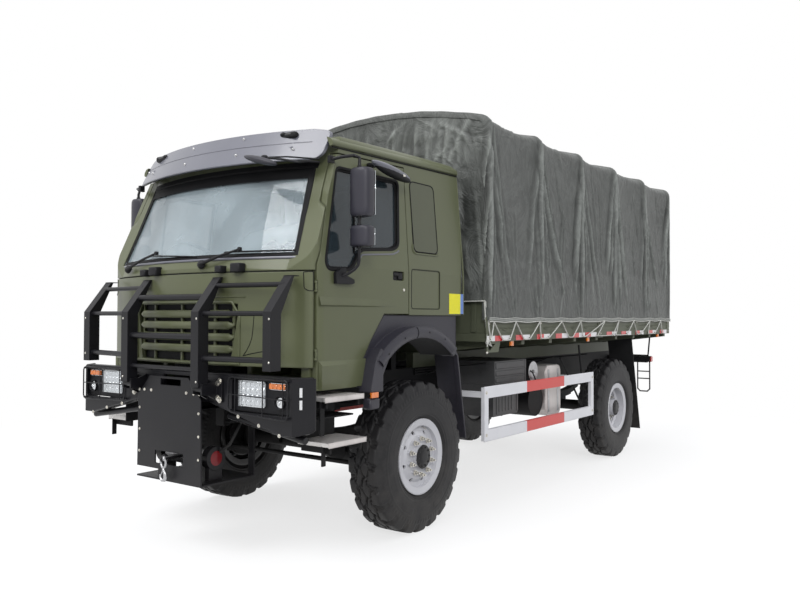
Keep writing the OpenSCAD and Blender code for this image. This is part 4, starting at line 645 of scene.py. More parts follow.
def cover_sheet():
    """The cover as one sheet over the bows: sag, ridges, fans of folds, straight hem and turned-in front edge."""
    half, at, total = resample(section_line(), 100)
    section = np.concatenate([half, np.stack([-half[-2::-1, 0], half[-2::-1, 1]], 1)])
    l = np.concatenate([at, 2 * total - at[-2::-1]])
    rows = 440
    curl = 9
    y_run = np.concatenate([np.linspace(-0.07, -0.004, curl), np.linspace(0, Y_BACK - Y_FRONT, rows)])
    Y, L = np.meshgrid(y_run, l, indexing="ij")
    X0 = np.broadcast_to(section[:, 0], Y.shape)
    Z0 = np.broadcast_to(section[:, 1], Y.shape)
    tang = np.gradient(section, axis=0)
    tang /= np.linalg.norm(tang, axis=1)[:, None]
    NX = np.broadcast_to(tang[:, 1], Y.shape)
    NZ = np.broadcast_to(-tang[:, 0], Y.shape)
    y_abs = Y_FRONT + np.clip(Y, 0, None)
    side_len = EAVES - HEM_Z
    from_hem = np.minimum(L, 2 * total - L)
    h = np.clip(from_hem / side_len, 0, 1)
    on_side = from_hem < side_len
    d = np.zeros_like(Y)
    # Sag between the bows, deeper at the shoulder and on the roof, with a soft ridge over each bow
    for a, b in zip(BOWS[:-1], BOWS[1:]):
        s = np.clip((y_abs - a) / (b - a), 0, 1)
        inside = (y_abs >= a) & (y_abs <= b)
        belly = np.sin(math.pi * s) ** 0.75
        d -= np.where(inside, belly * (0.013 + 0.029 * h ** 1.5), 0)
    for b in BOWS:
        d += 0.008 * np.exp(-((y_abs - b) / 0.045) ** 2) * (0.35 + 0.65 * h)
    # Long folds that fan out from each shoulder down to the hem
    r = np.random.default_rng(11)
    folds = []
    for side in (0, 1):
        def line(y0, h0, y1, h1, w, amp):
            l0, l1 = h0 * side_len, h1 * side_len
            if side:
                l0, l1 = 2 * total - l0, 2 * total - l1
            folds.append((y0 - Y_FRONT, l0, y1 - Y_FRONT, l1, w, amp))
        for i, b in enumerate(BOWS):
            for k in range(8):
                to = b + r.uniform(-0.30, 0.62)
                line(b + r.normal(0, 0.04), r.uniform(0.86, 1.03), to, r.uniform(-0.02, 0.35),
                     r.uniform(0.016, 0.040), r.uniform(0.014, 0.032))
            line(b, 1.02, b + r.uniform(-0.01, 0.03), 0.0, 0.024, 0.034)
        for k in range(46):
            y = r.uniform(Y_FRONT, Y_BACK)
            h0 = r.uniform(0.25, 1.0)
            line(y, h0, y + r.normal(0.10, 0.14), h0 - r.uniform(0.25, 0.6), r.uniform(0.008, 0.022),
                 r.uniform(0.004, 0.012))
        for y in HEM_POINTS:
            for k in range(4):
                line(y + r.normal(0, 0.02), -0.02, y + r.uniform(-0.22, 0.16), r.uniform(0.14, 0.40),
                     r.uniform(0.008, 0.018), r.uniform(0.006, 0.013))
        for k in range(60):
            y = r.uniform(Y_FRONT, Y_BACK)
            h0 = r.uniform(0.02, 0.9)
            line(y, h0, y + r.uniform(-0.18, 0.18), h0 + r.uniform(-0.10, 0.10), r.uniform(0.005, 0.012),
                 r.uniform(0.002, 0.006))
    for k in range(90):
        y, ll = r.uniform(0, Y_BACK - Y_FRONT), r.uniform(side_len, 2 * total - side_len)
        folds.append((y, ll, y + r.normal(0, 0.28), ll + r.normal(0, 0.45), r.uniform(0.010, 0.030),
                      r.uniform(0.003, 0.010)))
    raised = creases(Y, L, folds)
    d += raised
    d += 0.006 * wave_noise(Y, L, 6.0, 3, 5) + 0.0030 * wave_noise(Y, L, 22.0, 2, 6, 0.6)
    edge = np.clip((Y_BACK - y_abs) / 0.10, 0, 1)
    d = np.clip(d, -0.048, 0.026) * (0.25 + 0.75 * edge)
    # Below the top of the boards the cover lies on them, and at the hem the rope holds it flat
    deepest = -0.005 - 0.055 * np.clip((from_hem + HEM_Z - 2.16) / 0.22, 0, 1)
    d = np.maximum(d, deepest) * np.clip(0.25 + from_hem / 0.16, 0, 1)
    # Over the roof the cover doesn't rise above its crown
    d = np.where(on_side, d, np.minimum(d, 0.009))
    X, Z = X0 + NX * d, Z0 + NZ * d
    # The front edge turns in over the end panel
    turn_in = np.clip(-Y / 0.07, 0, 1)
    X = X - NX * turn_in * 0.055
    Z = Z - NZ * turn_in * 0.055
    drawn_back = 0.012 * np.sin(np.clip(turn_in, 0, 1) * math.pi / 2)
    Yw = y_abs - drawn_back + 0.006 * wave_noise(Y, L, 9, 2, 8) * (Y > 0.02)
    # The hem is cut nearly straight and hangs a little between its ties
    hem = np.clip(1 - from_hem / 0.10, 0, 1)
    near = np.min(np.abs(y_abs[..., None] - np.array(HEM_POINTS)), axis=-1)
    Z = Z - hem * 0.010 * np.clip(near / 0.2, 0, 1)
    pts = np.stack([X, np.minimum(Yw, Y_BACK + 0.004), Z], -1)
    obj = grid_piece("canopy_cover", pts.tolist(), "canvas", canvas, ("canopy",))
    paint_fold_shading(obj, raised)
    return pts


cover_pts = cover_sheet()


def end_panel():
    """Front end of the cover, hung inside its turned edge and creased against the first bow."""
    nx, nz = 150, 110
    half, at, total = resample(section_line(), 300)
    xs = np.linspace(-1, 1, nx)
    X = np.zeros((nx, nz))
    Z = np.zeros((nx, nz))
    low = HEM_Z + 0.165
    top_x, top_z = half[:, 0], half[:, 1]
    for i, s in enumerate(xs):
        x = s * (HALF_W - 0.02)
        order = np.argsort(top_x)
        top = np.interp(abs(x), top_x[order], top_z[order]) - 0.016 if abs(x) < HALF_W - 0.11 else \
            EAVES - 0.055 + math.sqrt(max(0.0, 0.105 ** 2 - (abs(x) - (HALF_W - 0.105)) ** 2)) - 0.016
        X[i], Z[i] = x, np.linspace(low, top, nz)
    r = np.random.default_rng(31)
    folds = []
    for k in range(70):
        x = r.uniform(-1.2, 1.2)
        z = r.uniform(2.6, 3.55)
        folds.append((x, z, x + r.normal(0, 0.22), z - r.uniform(0.15, 0.55), r.uniform(0.010, 0.028),
                      r.uniform(0.004, 0.013)))
    for k in range(26):
        x = r.uniform(-1.15, 1.15)
        folds.append((x, 3.55, x * 0.85 + r.normal(0, 0.1), r.uniform(2.2, 3.1), r.uniform(0.014, 0.03),
                      r.uniform(0.006, 0.016)))
    for k in range(22):
        x = r.uniform(-1.2, 1.2)
        folds.append((x, 2.9, x + r.normal(0, 0.08), 1.85, r.uniform(0.02, 0.04), r.uniform(0.008, 0.018)))
    d = creases(X, Z, folds) + 0.008 * wave_noise(X, Z, 5, 3, 32) + 0.004 * wave_noise(X, Z, 30, 2, 33)
    rim = np.clip(np.minimum(np.minimum(HALF_W - 0.02 - np.abs(X), Z[:, -1:] - Z), 0.2) / 0.2, 0, 1)
    Y = Y_FRONT - 0.002 - np.clip(d, -0.01, 0.022) * (0.2 + 0.8 * rim) - 0.012 * rim
    pts = np.stack([X, Y, Z], -1)
    obj = grid_piece("canopy_front", pts.tolist(), "canvas", canvas)
    paint_fold_shading(obj, d * 0.8)


end_panel()


def rear_curtain():
    """The rear curtain, rolled up under the last bow and held by straps."""
    x0, x1 = -1.13, 1.13
    turns = 2.6
    steps, cols = 74, 84
    zc, yc = 3.36, 5.845
    rows = []
    phase = np.random.default_rng(7).uniform(0, 6, 4)
    # Where along the roll its straps pinch it, from 0 at one end to 1 at the other
    bindings = (0.12, 0.37, 0.63, 0.88)

    def sag_at(t):
        return 0.010 * math.sin(math.pi * t) - 0.075 * (2 * t - 1) ** 2
    for i in range(steps):
        t = i / (steps - 1)
        ang = math.pi / 2 - t * turns * 2 * math.pi
        rad = 0.062 - 0.034 * t
        row = []
        for j in range(cols):
            s = j / (cols - 1)
            x = x0 + (x1 - x0) * s
            sag = sag_at(s)
            pinch = 1 - 0.16 * sum(math.exp(-((s - c) / 0.012) ** 2) for c in bindings)
            wob = 1 + 0.06 * math.sin(s * 31 + phase[0] + 3 * t) + 0.05 * math.sin(s * 57 + phase[1] + ang)
            rr = rad * pinch * wob
            row.append((x, yc + rr * math.cos(ang), zc + sag + rr * math.sin(ang)))
        rows.append(row)
    obj = grid_piece("rear_curtain_roll", rows, "canvas", canvas)
    straps = Shape()
    for c in bindings:
        x = x0 + (x1 - x0) * c
        sag = sag_at(c)
        ring = [(x, yc + 0.060 * math.cos(a), zc + sag + 0.060 * math.sin(a))
                for a in np.linspace(0.3 * math.pi, 2.2 * math.pi, 22)]
        for dx in (-0.014, 0.0, 0.014):
            straps.tube([(p[0] + dx, p[1], p[2]) for p in ring], 0.006, 6)
        straps.tube([(x, yc, zc + sag + 0.055), (x, yc + 0.01, zc + sag + 0.11)], 0.007, 6)
    straps.make("curtain_straps", "canvas", webbing)


rear_curtain()


def hem_and_rope():
    """Double white hem line, the zigzag lashing rope and its hooks on both sides."""
    rope, hem, hooks = shapes(3)
    low = [0.897, 1.113, 1.245, 1.520, 1.643, 1.878, 2.056, 2.533, 2.634, 2.896, 2.977, 3.300, 3.769, 3.864, 4.228,
           4.579, 4.726, 5.000, 5.268, 5.557]
    ties = [0.932, 1.341, 1.834, 2.337, 2.817, 3.493, 3.930, 4.438, 5.032, 5.475]
    x_hem, x_low = 1.270, 1.258
    ys = np.linspace(Y_FRONT + 0.01, Y_BACK - 0.01, 130)

    def hem_z(y, base):
        near = min(abs(y - t) for t in ties)
        return base - 0.010 * min(1, near / 0.2)
    rope.tube([(x_hem, y, hem_z(y, 1.660)) for y in ys], 0.0055, 6)
    rope.tube([(x_hem - 0.002, y, hem_z(y, 1.692)) for y in ys], 0.0035, 6)
    hem.tube([(x_hem - 0.006, y, hem_z(y, 1.676)) for y in ys], 0.0105, 8)
    # Lashing: from each tie at the hem to a hook on either side of it
    z_tie, z_hook = 1.656, 1.492
    order = []
    lows = iter(low)
    for t in ties:
        order += [("low", next(lows, None)), ("tie", t), ("low", next(lows, None))]
    run = [(x_low + 0.004, y, z_hook) if kind == "low" else (x_hem + 0.003, y, z_tie)
           for kind, y in order if y is not None]
    for p, q in zip(run[:-1], run[1:]):
        mid = [(a + b) / 2 for a, b in zip(p, q)]
        mid[2] -= 0.004
        rope.tube([p, mid, q], 0.0058, 7)
    for p in run:
        rope.ball(p, 0.0085, 8)
    for y in low:
        hooks.tube([(1.246, y, 1.505), (1.262, y, 1.500), (1.266, y, 1.488), (1.262, y, 1.478), (1.254, y, 1.476)],
                   0.0045, 6)
    for shape in (rope, hem, hooks):
        shape.mirrored()
    # Front lashing: from the cover's front corner down to the bed, with its loose end, and the line behind the cab
    for s in (1, -1):
        rope.tube([(s * 1.225, 0.842, 1.846), (s * 1.238, 0.845, 1.66), (s * 1.248, 0.846, 1.50),
                   (s * 1.252, 0.848, 1.44)], 0.006, 7)
        rope.tube([(s * 1.235, 0.846, 1.835), (s * 1.257, 0.880, 1.56), (s * 1.257, 0.905, 1.49)], 0.006, 7)
        rope.tube([(s * 1.254, 0.850, 1.50), (s * 1.262, 0.885, 1.468), (s * 1.260, 0.915, 1.44),
                   (s * 1.256, 0.870, 1.46)], 0.007, 7)
        rope.ball((s * 1.252, 0.848, 1.475), (0.015, 0.016, 0.020), 10)
    rope.tube([(x, 0.836 + 0.004 * math.sin(9 * x), 1.838 - 0.012 * math.cos(1.3 * x))
               for x in np.linspace(-1.24, 1.24, 30)], 0.005, 7)
    rope.make("lashing_rope", "white_paint", rope_white)
    hem.make("hem_webbing", "canvas", webbing)
    hooks.make("lashing_hooks", "olive_paint", bed_olive)


hem_and_rope()


# ---- tyres ---------------------------------------------------------------------------------------------------

def tyre_profile():
    """(distance from the middle along the axle, radius) from one bead over the tread to the other."""
    half = [(0.106, 0.262), (0.121, 0.292), (0.126, 0.306), (0.134, 0.316), (0.146, 0.330), (0.1535, 0.352),
            (0.1558, 0.378), (0.1560, 0.402), (0.1556, 0.426), (0.1548, 0.448), (0.1530, 0.470), (0.1508, 0.488),
            (0.1480, 0.504), (0.1445, 0.521), (0.1405, 0.538), (0.1365, 0.553), (0.1325, 0.567), (0.1285, 0.580),
            (0.1220, 0.5885), (0.1100, 0.5925), (0.0700, 0.5938), (0.0, 0.5940)]
    dense = []
    for (a, b), (c, d) in zip(half[:-1], half[1:]):
        n = max(1, int(math.hypot(c - a, d - b) / 0.0062))
        dense += [(a + (c - a) * k / n, b + (d - b) * k / n) for k in range(n)]
    dense.append(half[-1])
    return dense + [(-a, b) for a, b in dense[-2::-1]]


def tyre(name, node, body, side):
    """A treaded tyre round one CAD tyre's centre, cut into the profile by formulas of angle and width."""
    centre = [(a + b) / 2 for a, b in zip(*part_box(node))]
    prof = np.array(tyre_profile())
    n = 396
    th = np.linspace(0, 2 * math.pi, n, endpoint=False)
    TH, S = np.meshgrid(th, prof[:, 0], indexing="ij")
    R = np.broadcast_to(prof[:, 1], TH.shape).copy()
    count = 22
    phase = TH * count / (2 * math.pi)

    def step(x, w=0.10):
        return np.clip(x / w, 0, 1)
    tread = np.clip((R - 0.520) / 0.030, 0, 1)
    left = S > 0
    # Shoulder lugs: gaps across each edge of the tread and down the shoulder, half a pitch apart on the two sides
    ph = np.where(left, phase, phase + 0.5)
    across = np.abs(S)
    skew = ph + 1.6 * (across - 0.09)
    u = np.abs((skew % 1.0) - 0.5)
    lug = 1 - step(0.185 - u, 0.05)
    shoulder = np.clip((across - 0.052) / 0.010, 0, 1)
    cut = shoulder * (1 - lug) * tread
    # Middle blocks: a zigzag groove round the middle and short cross grooves
    zig = 0.016 * (2 * np.abs((phase % 1.0) - 0.5) - 0.5) * 2
    groove = 1 - step(np.abs(S - zig) - 0.0045, 0.004)
    zig2 = 0.050 + 0.010 * np.sin(2 * math.pi * ph)
    groove2 = 1 - step(np.abs(across - zig2) - 0.005, 0.004)
    u2 = np.abs(((ph + 0.5 + 4.0 * (across - 0.03)) % 1.0) - 0.5)
    cross = (1 - step(u2 - 0.055, 0.03)) * (across < 0.058)
    sipe = (1 - step(np.abs((ph % 1.0) - 0.5) - 0.012, 0.02)) * (across > 0.07) * (across < 0.118)
    middle = np.maximum.reduce([groove, groove2 * 0.9, cross * 0.75])
    depth = 0.021 * np.maximum(cut, middle * tread * (R > 0.585)) + 0.007 * sipe * (R > 0.58)
    R -= depth
    # Raised rings and ribs of the sidewall
    wall = (R < 0.51)
    # Radius, width and height of each raised ring
    ring_sizes = ((0.330, 0.0035, 0.0035), (0.392, 0.003, 0.0018), (0.470, 0.003, 0.0026), (0.486, 0.002, 0.0020),
                  (0.352, 0.002, 0.0015))
    rings = sum(a * np.exp(-((R - c) / w) ** 2) for c, w, a in ring_sizes)
    ribs = 0.0022 * (np.abs((TH * 88 / (2 * math.pi)) % 1.0 - 0.5) < 0.25) * (R > 0.488) * (R < 0.520)
    pads = 0.0016 * (np.abs((TH * 6 / (2 * math.pi)) % 1.0 - 0.5) < 0.17) * (R > 0.402) * (R < 0.452)
    out = np.where(wall | (R < 0.52), rings + ribs + pads, 0) * np.sign(S)
    A = (S + out) * side
    X = centre[0] + A
    Y = centre[1] - FRONT_AXLE_Y + R * np.sin(TH)
    Z = centre[2] + R * np.cos(TH)
    pts = np.stack([X, Y, Z], -1)
    shape = Shape()
    shape.add(pts.reshape(-1, 3).tolist(), quads(*pts.shape[:2], ring=False, loop=True))
    return shape.make(name, "tyre_rubber", tyre_rubber, body=body, replaces=(node,), angle=50)


WHEELS = [("front", "left", 1), ("front", "right", -1), ("rear", "left", 1), ("rear", "right", -1)]
for end, hand, s in WHEELS:
    tyre(f"tread_tyre_{end}_{hand}", f"tyre_{end}_{hand}", f"{end}_{hand}_wheel", s)


def wheel_dress(end, hand, s):
    """Nuts, hub cap with its bolts, valve and the bead ring of one wheel."""
    lo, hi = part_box(f"rim_{end}_{hand}")
    cx = s * 1.010
    cy, cz = (lo[1] + hi[1]) / 2 - FRONT_AXLE_Y, (lo[2] + hi[2]) / 2
    disc = 0.112 if end == "front" else -0.002
    hub_out = 0.152 if end == "front" else 0.116
    nuts, hub, dark = shapes(3)

    def at(a, r, d):
        return (cx + s * d, cy + r * math.sin(a), cz + r * math.cos(a))
    for i in range(10):
        a = math.radians(36 * i)
        nuts.cyl(at(a, 0.142, disc + 0.018), at(a, 0.142, disc + 0.026), 0.021, 18)
        nuts.cyl(at(a, 0.142, disc + 0.020), at(a, 0.142, disc + 0.046), 0.0165, 6)
        nuts.cyl(at(a, 0.142, disc + 0.044), at(a, 0.142, disc + 0.064), 0.0085, 10)
    hub.lathe([(hub_out - 0.004, 0.0955), (hub_out + 0.002, 0.094), (hub_out + 0.006, 0.088),
               (hub_out + 0.007, 0.060), (hub_out + 0.012, 0.054), (hub_out + 0.014, 0.030),
               (hub_out + 0.014, 0.0005)], (cx, cy, cz), (s, 0, 0), 40)
    for i in range(10):
        a = math.radians(36 * i + 18)
        hub.bolt(at(a, 0.076, hub_out + 0.006), (s, 0, 0), 0.0065, 0.007)
    nuts.tube([at(0.2, 0.232, 0.105), at(0.2, 0.225, 0.128), at(0.2, 0.216, 0.150)], 0.0045, 8)
    # Lock ring between the rim's flange and its barrel
    dark.lathe([(0.1335, 0.2885), (0.1365, 0.2895), (0.1365, 0.2925), (0.1335, 0.2935)], (cx, cy, cz), (s, 0, 0),
               96)
    body = f"{end}_{hand}_wheel"
    nuts.make(f"wheel_nuts_{end}_{hand}", "steel_wire", zinc, body=body)
    hub.make(f"hub_cap_{end}_{hand}", "chassis_paint", black_coat, body=body)
    dark.make(f"lock_ring_{end}_{hand}", "rim_paint", rim_silver, body=body)


for end, hand, s in WHEELS:
    wheel_dress(end, hand, s)


# ---- front end -----------------------------------------------------------------------------------------------

def lamps():
    """Lamp clusters behind their wire guards, on both halves of the bumper."""
    lens, glow, wires, holder, ind = shapes(5)
    y0 = -1.4705
    # Black bezel that fills the recess, with the reflectors standing in it
    holder.box((0.598, -1.4485, 1.055), (1.136, -1.4445, 1.268), 0.002)
    x0, x1, z0, z1 = 0.676, 0.902, 1.100, 1.262
    glow.box((x0, y0 - 0.004, z0), (x1, y0 + 0.002, z1), 0.004)
    for k in range(5):
        for j in range(4):
            cx, cz = x0 + (k + 0.5) * (x1 - x0) / 5, z0 + (j + 0.5) * (z1 - z0) / 4
            glow.ball((cx, y0 - 0.003, cz), ((x1 - x0) / 11, 0.006, (z1 - z0) / 9), 10)
    lens.box((x0 - 0.006, y0 - 0.016, z0 - 0.006), (x1 + 0.006, y0 - 0.012, z1 + 0.006), 0.004)
    for k in range(4):
        x0 = 0.952 + k * 0.0365
        ind.box((x0, y0 - 0.006, 1.221), (x0 + 0.034, y0 + 0.001, 1.259), 0.004)
    glow.lathe([(-0.010, 0.0005), (-0.009, 0.016), (-0.004, 0.030), (0.0, 0.038), (0.003, 0.043)],
               (1.050, y0 - 0.002, 1.136), (0, 1, 0), 32)
    holder.lathe([(0.006, 0.046), (-0.012, 0.047), (-0.014, 0.043), (0.004, 0.041)], (1.050, y0, 1.136), (0, 1, 0),
                 32)
    glow.ball((1.050, y0 - 0.010, 1.136), (0.014, 0.010, 0.014), 12)
    # Wire guard: frame, two verticals and a middle bar
    yw = -1.503
    outline = [(0.588, 1.085), (0.600, 1.058), (0.624, 1.048), (1.112, 1.030), (1.138, 1.040), (1.148, 1.062),
               (1.148, 1.262), (1.138, 1.280), (1.118, 1.287), (0.618, 1.287), (0.598, 1.278), (0.588, 1.258)]
    pts = [(x, yw, z) for x, z in outline]
    wires.tube(pts, 0.0055, 8, closed=True)
    wires.tube([(0.588, yw, 1.170), (1.148, yw, 1.160)], 0.004, 6)
    for x in (0.655, 0.920, 1.105):
        wires.tube([(x, yw, 1.047 if x < 0.7 else 1.035), (x, yw, 1.287)], 0.004, 6)
    for x, z in ((0.604, 1.062), (0.604, 1.276), (1.136, 1.044), (1.136, 1.276)):
        wires.tube([(x, yw, z), (x, -1.470, z)], 0.006, 8)
    for s in (lens, glow, wires, holder, ind):
        s.mirrored()
    holder.make("lamp_bezels", "black_plastic", black_plastic)
    glow.make("lamp_reflectors", "lamp_glass", chrome)
    ind.make("indicators", "amber_plastic", amber)
    lens.make("lamp_lenses", "lamp_glass", clear_lens)
    wires.make("lamp_guards", "black_plastic", black_coat)


lamps()


def bumper_trim():
    """Bolts, rolled lips and reflectors of the bumper and the bull bar."""
    bolts, lip = shapes(2)
    for s in (1, -1):
        for x, z in ((0.457, 1.235), (0.457, 1.135), (0.478, 1.252), (0.478, 1.120)):
            bolts.bolt((s * (x + 0.008), -1.4895, z), (0, -1, 0), 0.014, 0.011)
    for s in (1, -1):
        # Rolled upper lip of the bumper
        lip.tube([(s * 0.30, -1.470, 1.297), (s * 1.150, -1.470, 1.297), (s * 1.232, -1.352, 1.297)], 0.0075, 8)
        lip.tube([(s * 0.40, -1.470, 1.092), (s * 1.045, -1.470, 0.934), (s * 1.160, -1.462, 0.930),
                  (s * 1.232, -1.345, 0.952)], 0.007, 8)
        for x in (0.20, 0.28, 0.34):
            bolts.bolt((s * x, -1.5450, 1.155), (0, -1, 0), 0.008, 0.006)
        for z in (0.70, 0.86, 1.02):
            bolts.bolt((s * 0.335, -1.5450, z), (0, -1, 0), 0.007, 0.006)
        for x, z in ((0.66, 1.000), (0.86, 0.955), (1.05, 0.905)):
            bolts.bolt((s * x, -1.4765, z + 0.02), (0, -1, 0), 0.009, 0.007)
        # Plates on top of the bull bar posts
        for px, py in ((0.400, -1.440), (1.018, -1.362)):
            lip.box((s * px - 0.039, py - 0.014, 1.9655),
                    (s * px + 0.039, py + (0.016 if px < 0.5 else 0.055), 1.9715), 0.002)
        for x, y, z in ((0.400, -1.640, 1.25), (0.400, -1.640, 1.68), (1.018, -1.562, 1.40), (1.018, -1.562, 1.68)):
            bolts.ball((s * (x + 0.018), y, z), (0.008, 0.004, 0.008), 10)
    bolts.make("front_bolts", "steel_wire", zinc)
    lip.make("bumper_lips", "black_coat", black_coat)
    marks = Shape()
    # Two white reflectors on each slanted end of the bumper
    for s in (1, -1):
        a, b = Vector((1.162, -1.475)), Vector((1.241, -1.345))
        t = (b - a).normalized()
        nrm = Vector((t.y, -t.x))
        for z0 in (1.178, 1.098):
            p0, p1 = a + t * 0.048, a + t * 0.066
            quad = [(p0 + nrm * 0.001), (p1 + nrm * 0.001), (p1 + nrm * 0.004), (p0 + nrm * 0.004)]
            marks.prism([(s * q.x, q.y) for q in quad], "z", z0, z0 + 0.060)
    marks.make("bumper_reflectors", "white_paint", reflector_white)


bumper_trim()


def winch_dress():
    """Red clutch cover, rope on the drum, hook with its eye, and cables."""
    red, wire, dark = shapes(3)
    wy, wz = -1.345, 0.679
    cover = [(0.0, 0.0005), (0.001, 0.050), (0.006, 0.064), (0.016, 0.070), (0.050, 0.071), (0.060, 0.066),
             (0.064, 0.050)]
    for s in (1, -1):
        red.lathe(cover, (s * 0.292, wy, wz), (-s, 0, 0), 36)
    for k in range(26):
        x = -0.205 + k * 0.0165
        wire.lathe([(0, 0.062), (0.004, 0.0705), (0.0082, 0.0730), (0.0124, 0.0705), (0.0164, 0.062)], (x, wy, wz),
                   (1, 0, 0), 28)
    # Thimble, link and hook below the slot
    hy = -1.590
    wire.tube([(0.012, -1.40, 0.690), (0.012, -1.50, 0.695), (0.012, -1.572, 0.690), (0.012, -1.588, 0.678)], 0.008,
              8)
    wire.ball((0.012, -1.588, 0.682), (0.020, 0.018, 0.022), 12)
    ring = [(0.012 + 0.026 * math.sin(a), hy, 0.650 + 0.034 * math.cos(a))
            for a in np.linspace(0, 2 * math.pi, 24)[:-1]]
    wire.tube(ring, 0.0085, 8, closed=True)
    hook = [(0.012, hy, 0.622), (0.014, hy, 0.602), (0.032, hy, 0.578), (0.036, hy, 0.552), (0.022, hy, 0.530),
            (-0.002, hy, 0.527), (-0.020, hy, 0.545), (-0.024, hy, 0.566)]
    wire.tube(hook, [0.010, 0.012, 0.013, 0.014, 0.013, 0.012, 0.010, 0.006], 10)
    wire.tube([(-0.018, hy, 0.560), (0.006, hy, 0.600)], 0.004, 6)
    for s in (1, -1):
        dark.tube([(s * 0.30, -1.32, 0.72), (s * 0.36, -1.28, 0.78), (s * 0.40, -1.22, 0.92),
                   (s * 0.38, -1.15, 1.08)], 0.011, 8)
    red.make("winch_covers", "steel_wire", winch_red)
    wire.make("winch_rope_and_hook", "steel_wire", steel)
    dark.make("winch_cables", "black_plastic", rubber)


winch_dress()


def grille_and_panel():
    """Dark mesh behind the slats, pressed lines of the front panel and wiper plinths."""
    mesh_back, line, plinth = shapes(3)
    xs = np.linspace(-0.53, 0.53, 25)
    mesh_back.grid([[on_front(x, z, -0.036) for z in np.linspace(1.378, 1.782, 4)] for x in xs])
    mesh_back.make("grille_mesh", "black_plastic", card_black)
    # Curved joint line beside the grille on each side, and the crease below it
    curve = [(0.693, 1.707), (0.689, 1.655), (0.684, 1.600), (0.676, 1.545), (0.658, 1.500), (0.636, 1.462),
             (0.607, 1.425)]
    for s in (1, -1):
        line.tube([on_front(s * x, z, 0.0003) for x, z in curve], 0.0026, 6)
        crease = ((0.607, 1.425), (0.66, 1.438), (0.72, 1.450), (0.79, 1.462))
        line.tube([on_front(s * x, z, 0.0005) for x, z in crease], 0.0030, 6)
    line.make("panel_lines", "black_plastic", card_black)
    lip = Shape()
    # Raised frame round the grille
    frame_pts = [(-0.575, 1.366), (0.575, 1.366), (0.575, 1.705), (0.512, 1.796), (-0.512, 1.796), (-0.575, 1.705)]
    dense = []
    for (a, b), (c, d) in zip(frame_pts, frame_pts[1:] + frame_pts[:1]):
        n = max(2, int(math.hypot(c - a, d - b) / 0.05))
        dense += [on_front(a + (c - a) * k / n, b + (d - b) * k / n, 0.002) for k in range(n)]
    lip.tube(dense, 0.009, 8, closed=True)
    # Rounded noses of the slats, drawn out to a point at both ends
    for z in (1.713, 1.632, 1.549, 1.466):
        rows = []
        for x in np.linspace(-0.532, 0.532, 41):
            half_h = 0.0285 * min(1.0, (0.5325 - abs(x)) / 0.050) ** 0.8
            rows.append([(x, front_y(x) + 0.004 - 0.016 * math.cos(a) * min(1, half_h / 0.02),
                          z + half_h * math.sin(a)) for a in np.linspace(-1.571, 1.571, 9)])
        lip.grid(rows)
    # Pressed bead above the grille
    bead = [on_front(x, 1.838 - 0.02 * abs(x) ** 2, 0.001) for x in np.linspace(-0.62, 0.62, 31)]
    lip.tube(bead, 0.006, 8)
    lip.make("grille_frame", "olive_paint", olive_edge)
    for cx in (-0.350, 0.510):
        for dx, w, h in ((-0.085, 0.066, 0.052), (0.062, 0.096, 0.066)):
            x = cx + dx
            y = front_y(x)
            plinth.box((x - w / 2, y - 0.052, 2.000), (x + w / 2, y + 0.018, 2.000 + h), 0.008)
    plinth.make("wiper_plinths", "black_plastic", black_plastic, bevel=0.003)
    # Raised lines at the corners of the front panel
    inlet = Shape()
    for s in (1, -1):
        pts = [(s * (0.985 + 0.075 * t), 1.90 - 0.38 * t) for t in np.linspace(0, 1, 14)]
        inlet.tube([(x, front_y(abs(x)) + 0.030, z) for x, z in pts], 0.004, 6)
    inlet.make("corner_lines", "olive_paint", olive_edge)


grille_and_panel()


def wipers():
    """Two wipers: pivot cap, arm, spring block and the blade in its yokes."""
    arm, blade = shapes(2)
    # Pivot and elbow of each arm, and both ends of its blade, as (x, z)
    sets = [((-0.760, 2.066), (-0.344, 2.176), (-0.500, 2.164), (0.140, 2.128)),
            ((0.236, 2.064), (0.551, 2.166), (0.400, 2.150), (0.955, 2.148))]
    for pivot, elbow, tip0, tip1 in sets:
        px, pz = pivot
        base = (px, front_y(px) - 0.004, pz)
        arm.lathe([(0.0, 0.034), (0.010, 0.033), (0.024, 0.026), (0.030, 0.012), (0.031, 0.0005)], base,
                  (0, -1, 0.35), 20)
        mid = on_screen((px * 0.45 + elbow[0] * 0.55), (pz * 0.45 + elbow[1] * 0.55), 0.050)
        arm.tube([(px, front_y(px) - 0.030, pz), mid, on_screen(elbow[0], elbow[1], 0.038)], [0.013, 0.010, 0.008],
                 8)
        arm.box(tuple(c - 0.014 for c in on_screen(elbow[0], elbow[1], 0.034)),
                tuple(c + 0.014 for c in on_screen(elbow[0], elbow[1], 0.034)), 0.005)

        def along(t, out):
            """A place on the blade's line, t of the way from its inner to its outer end."""
            return on_screen(tip0[0] + (tip1[0] - tip0[0]) * t, tip0[1] + (tip1[1] - tip0[1]) * t, out)
        for t0, t1 in ((0.16, 0.46), (0.54, 0.84)):
            (xa, _, za), (xb, _, zb) = along(t0, 0), along(t1, 0)
            arm.tube([on_screen(xa, za, 0.014), on_screen((xa + xb) / 2, (za + zb) / 2, 0.028),
                      on_screen(xb, zb, 0.014)], 0.0045, 6)
        arm.tube([along(0.3, 0.030), along(0.7, 0.030)], 0.005, 6)
        blade.tube([along(t, 0.007) for t in np.linspace(0, 1, 12)], 0.0055, 6)
    arm.make("wiper_arms", "black_plastic", black_plastic)
    blade.make("wiper_blades", "flap_rubber", card_black)


wipers()


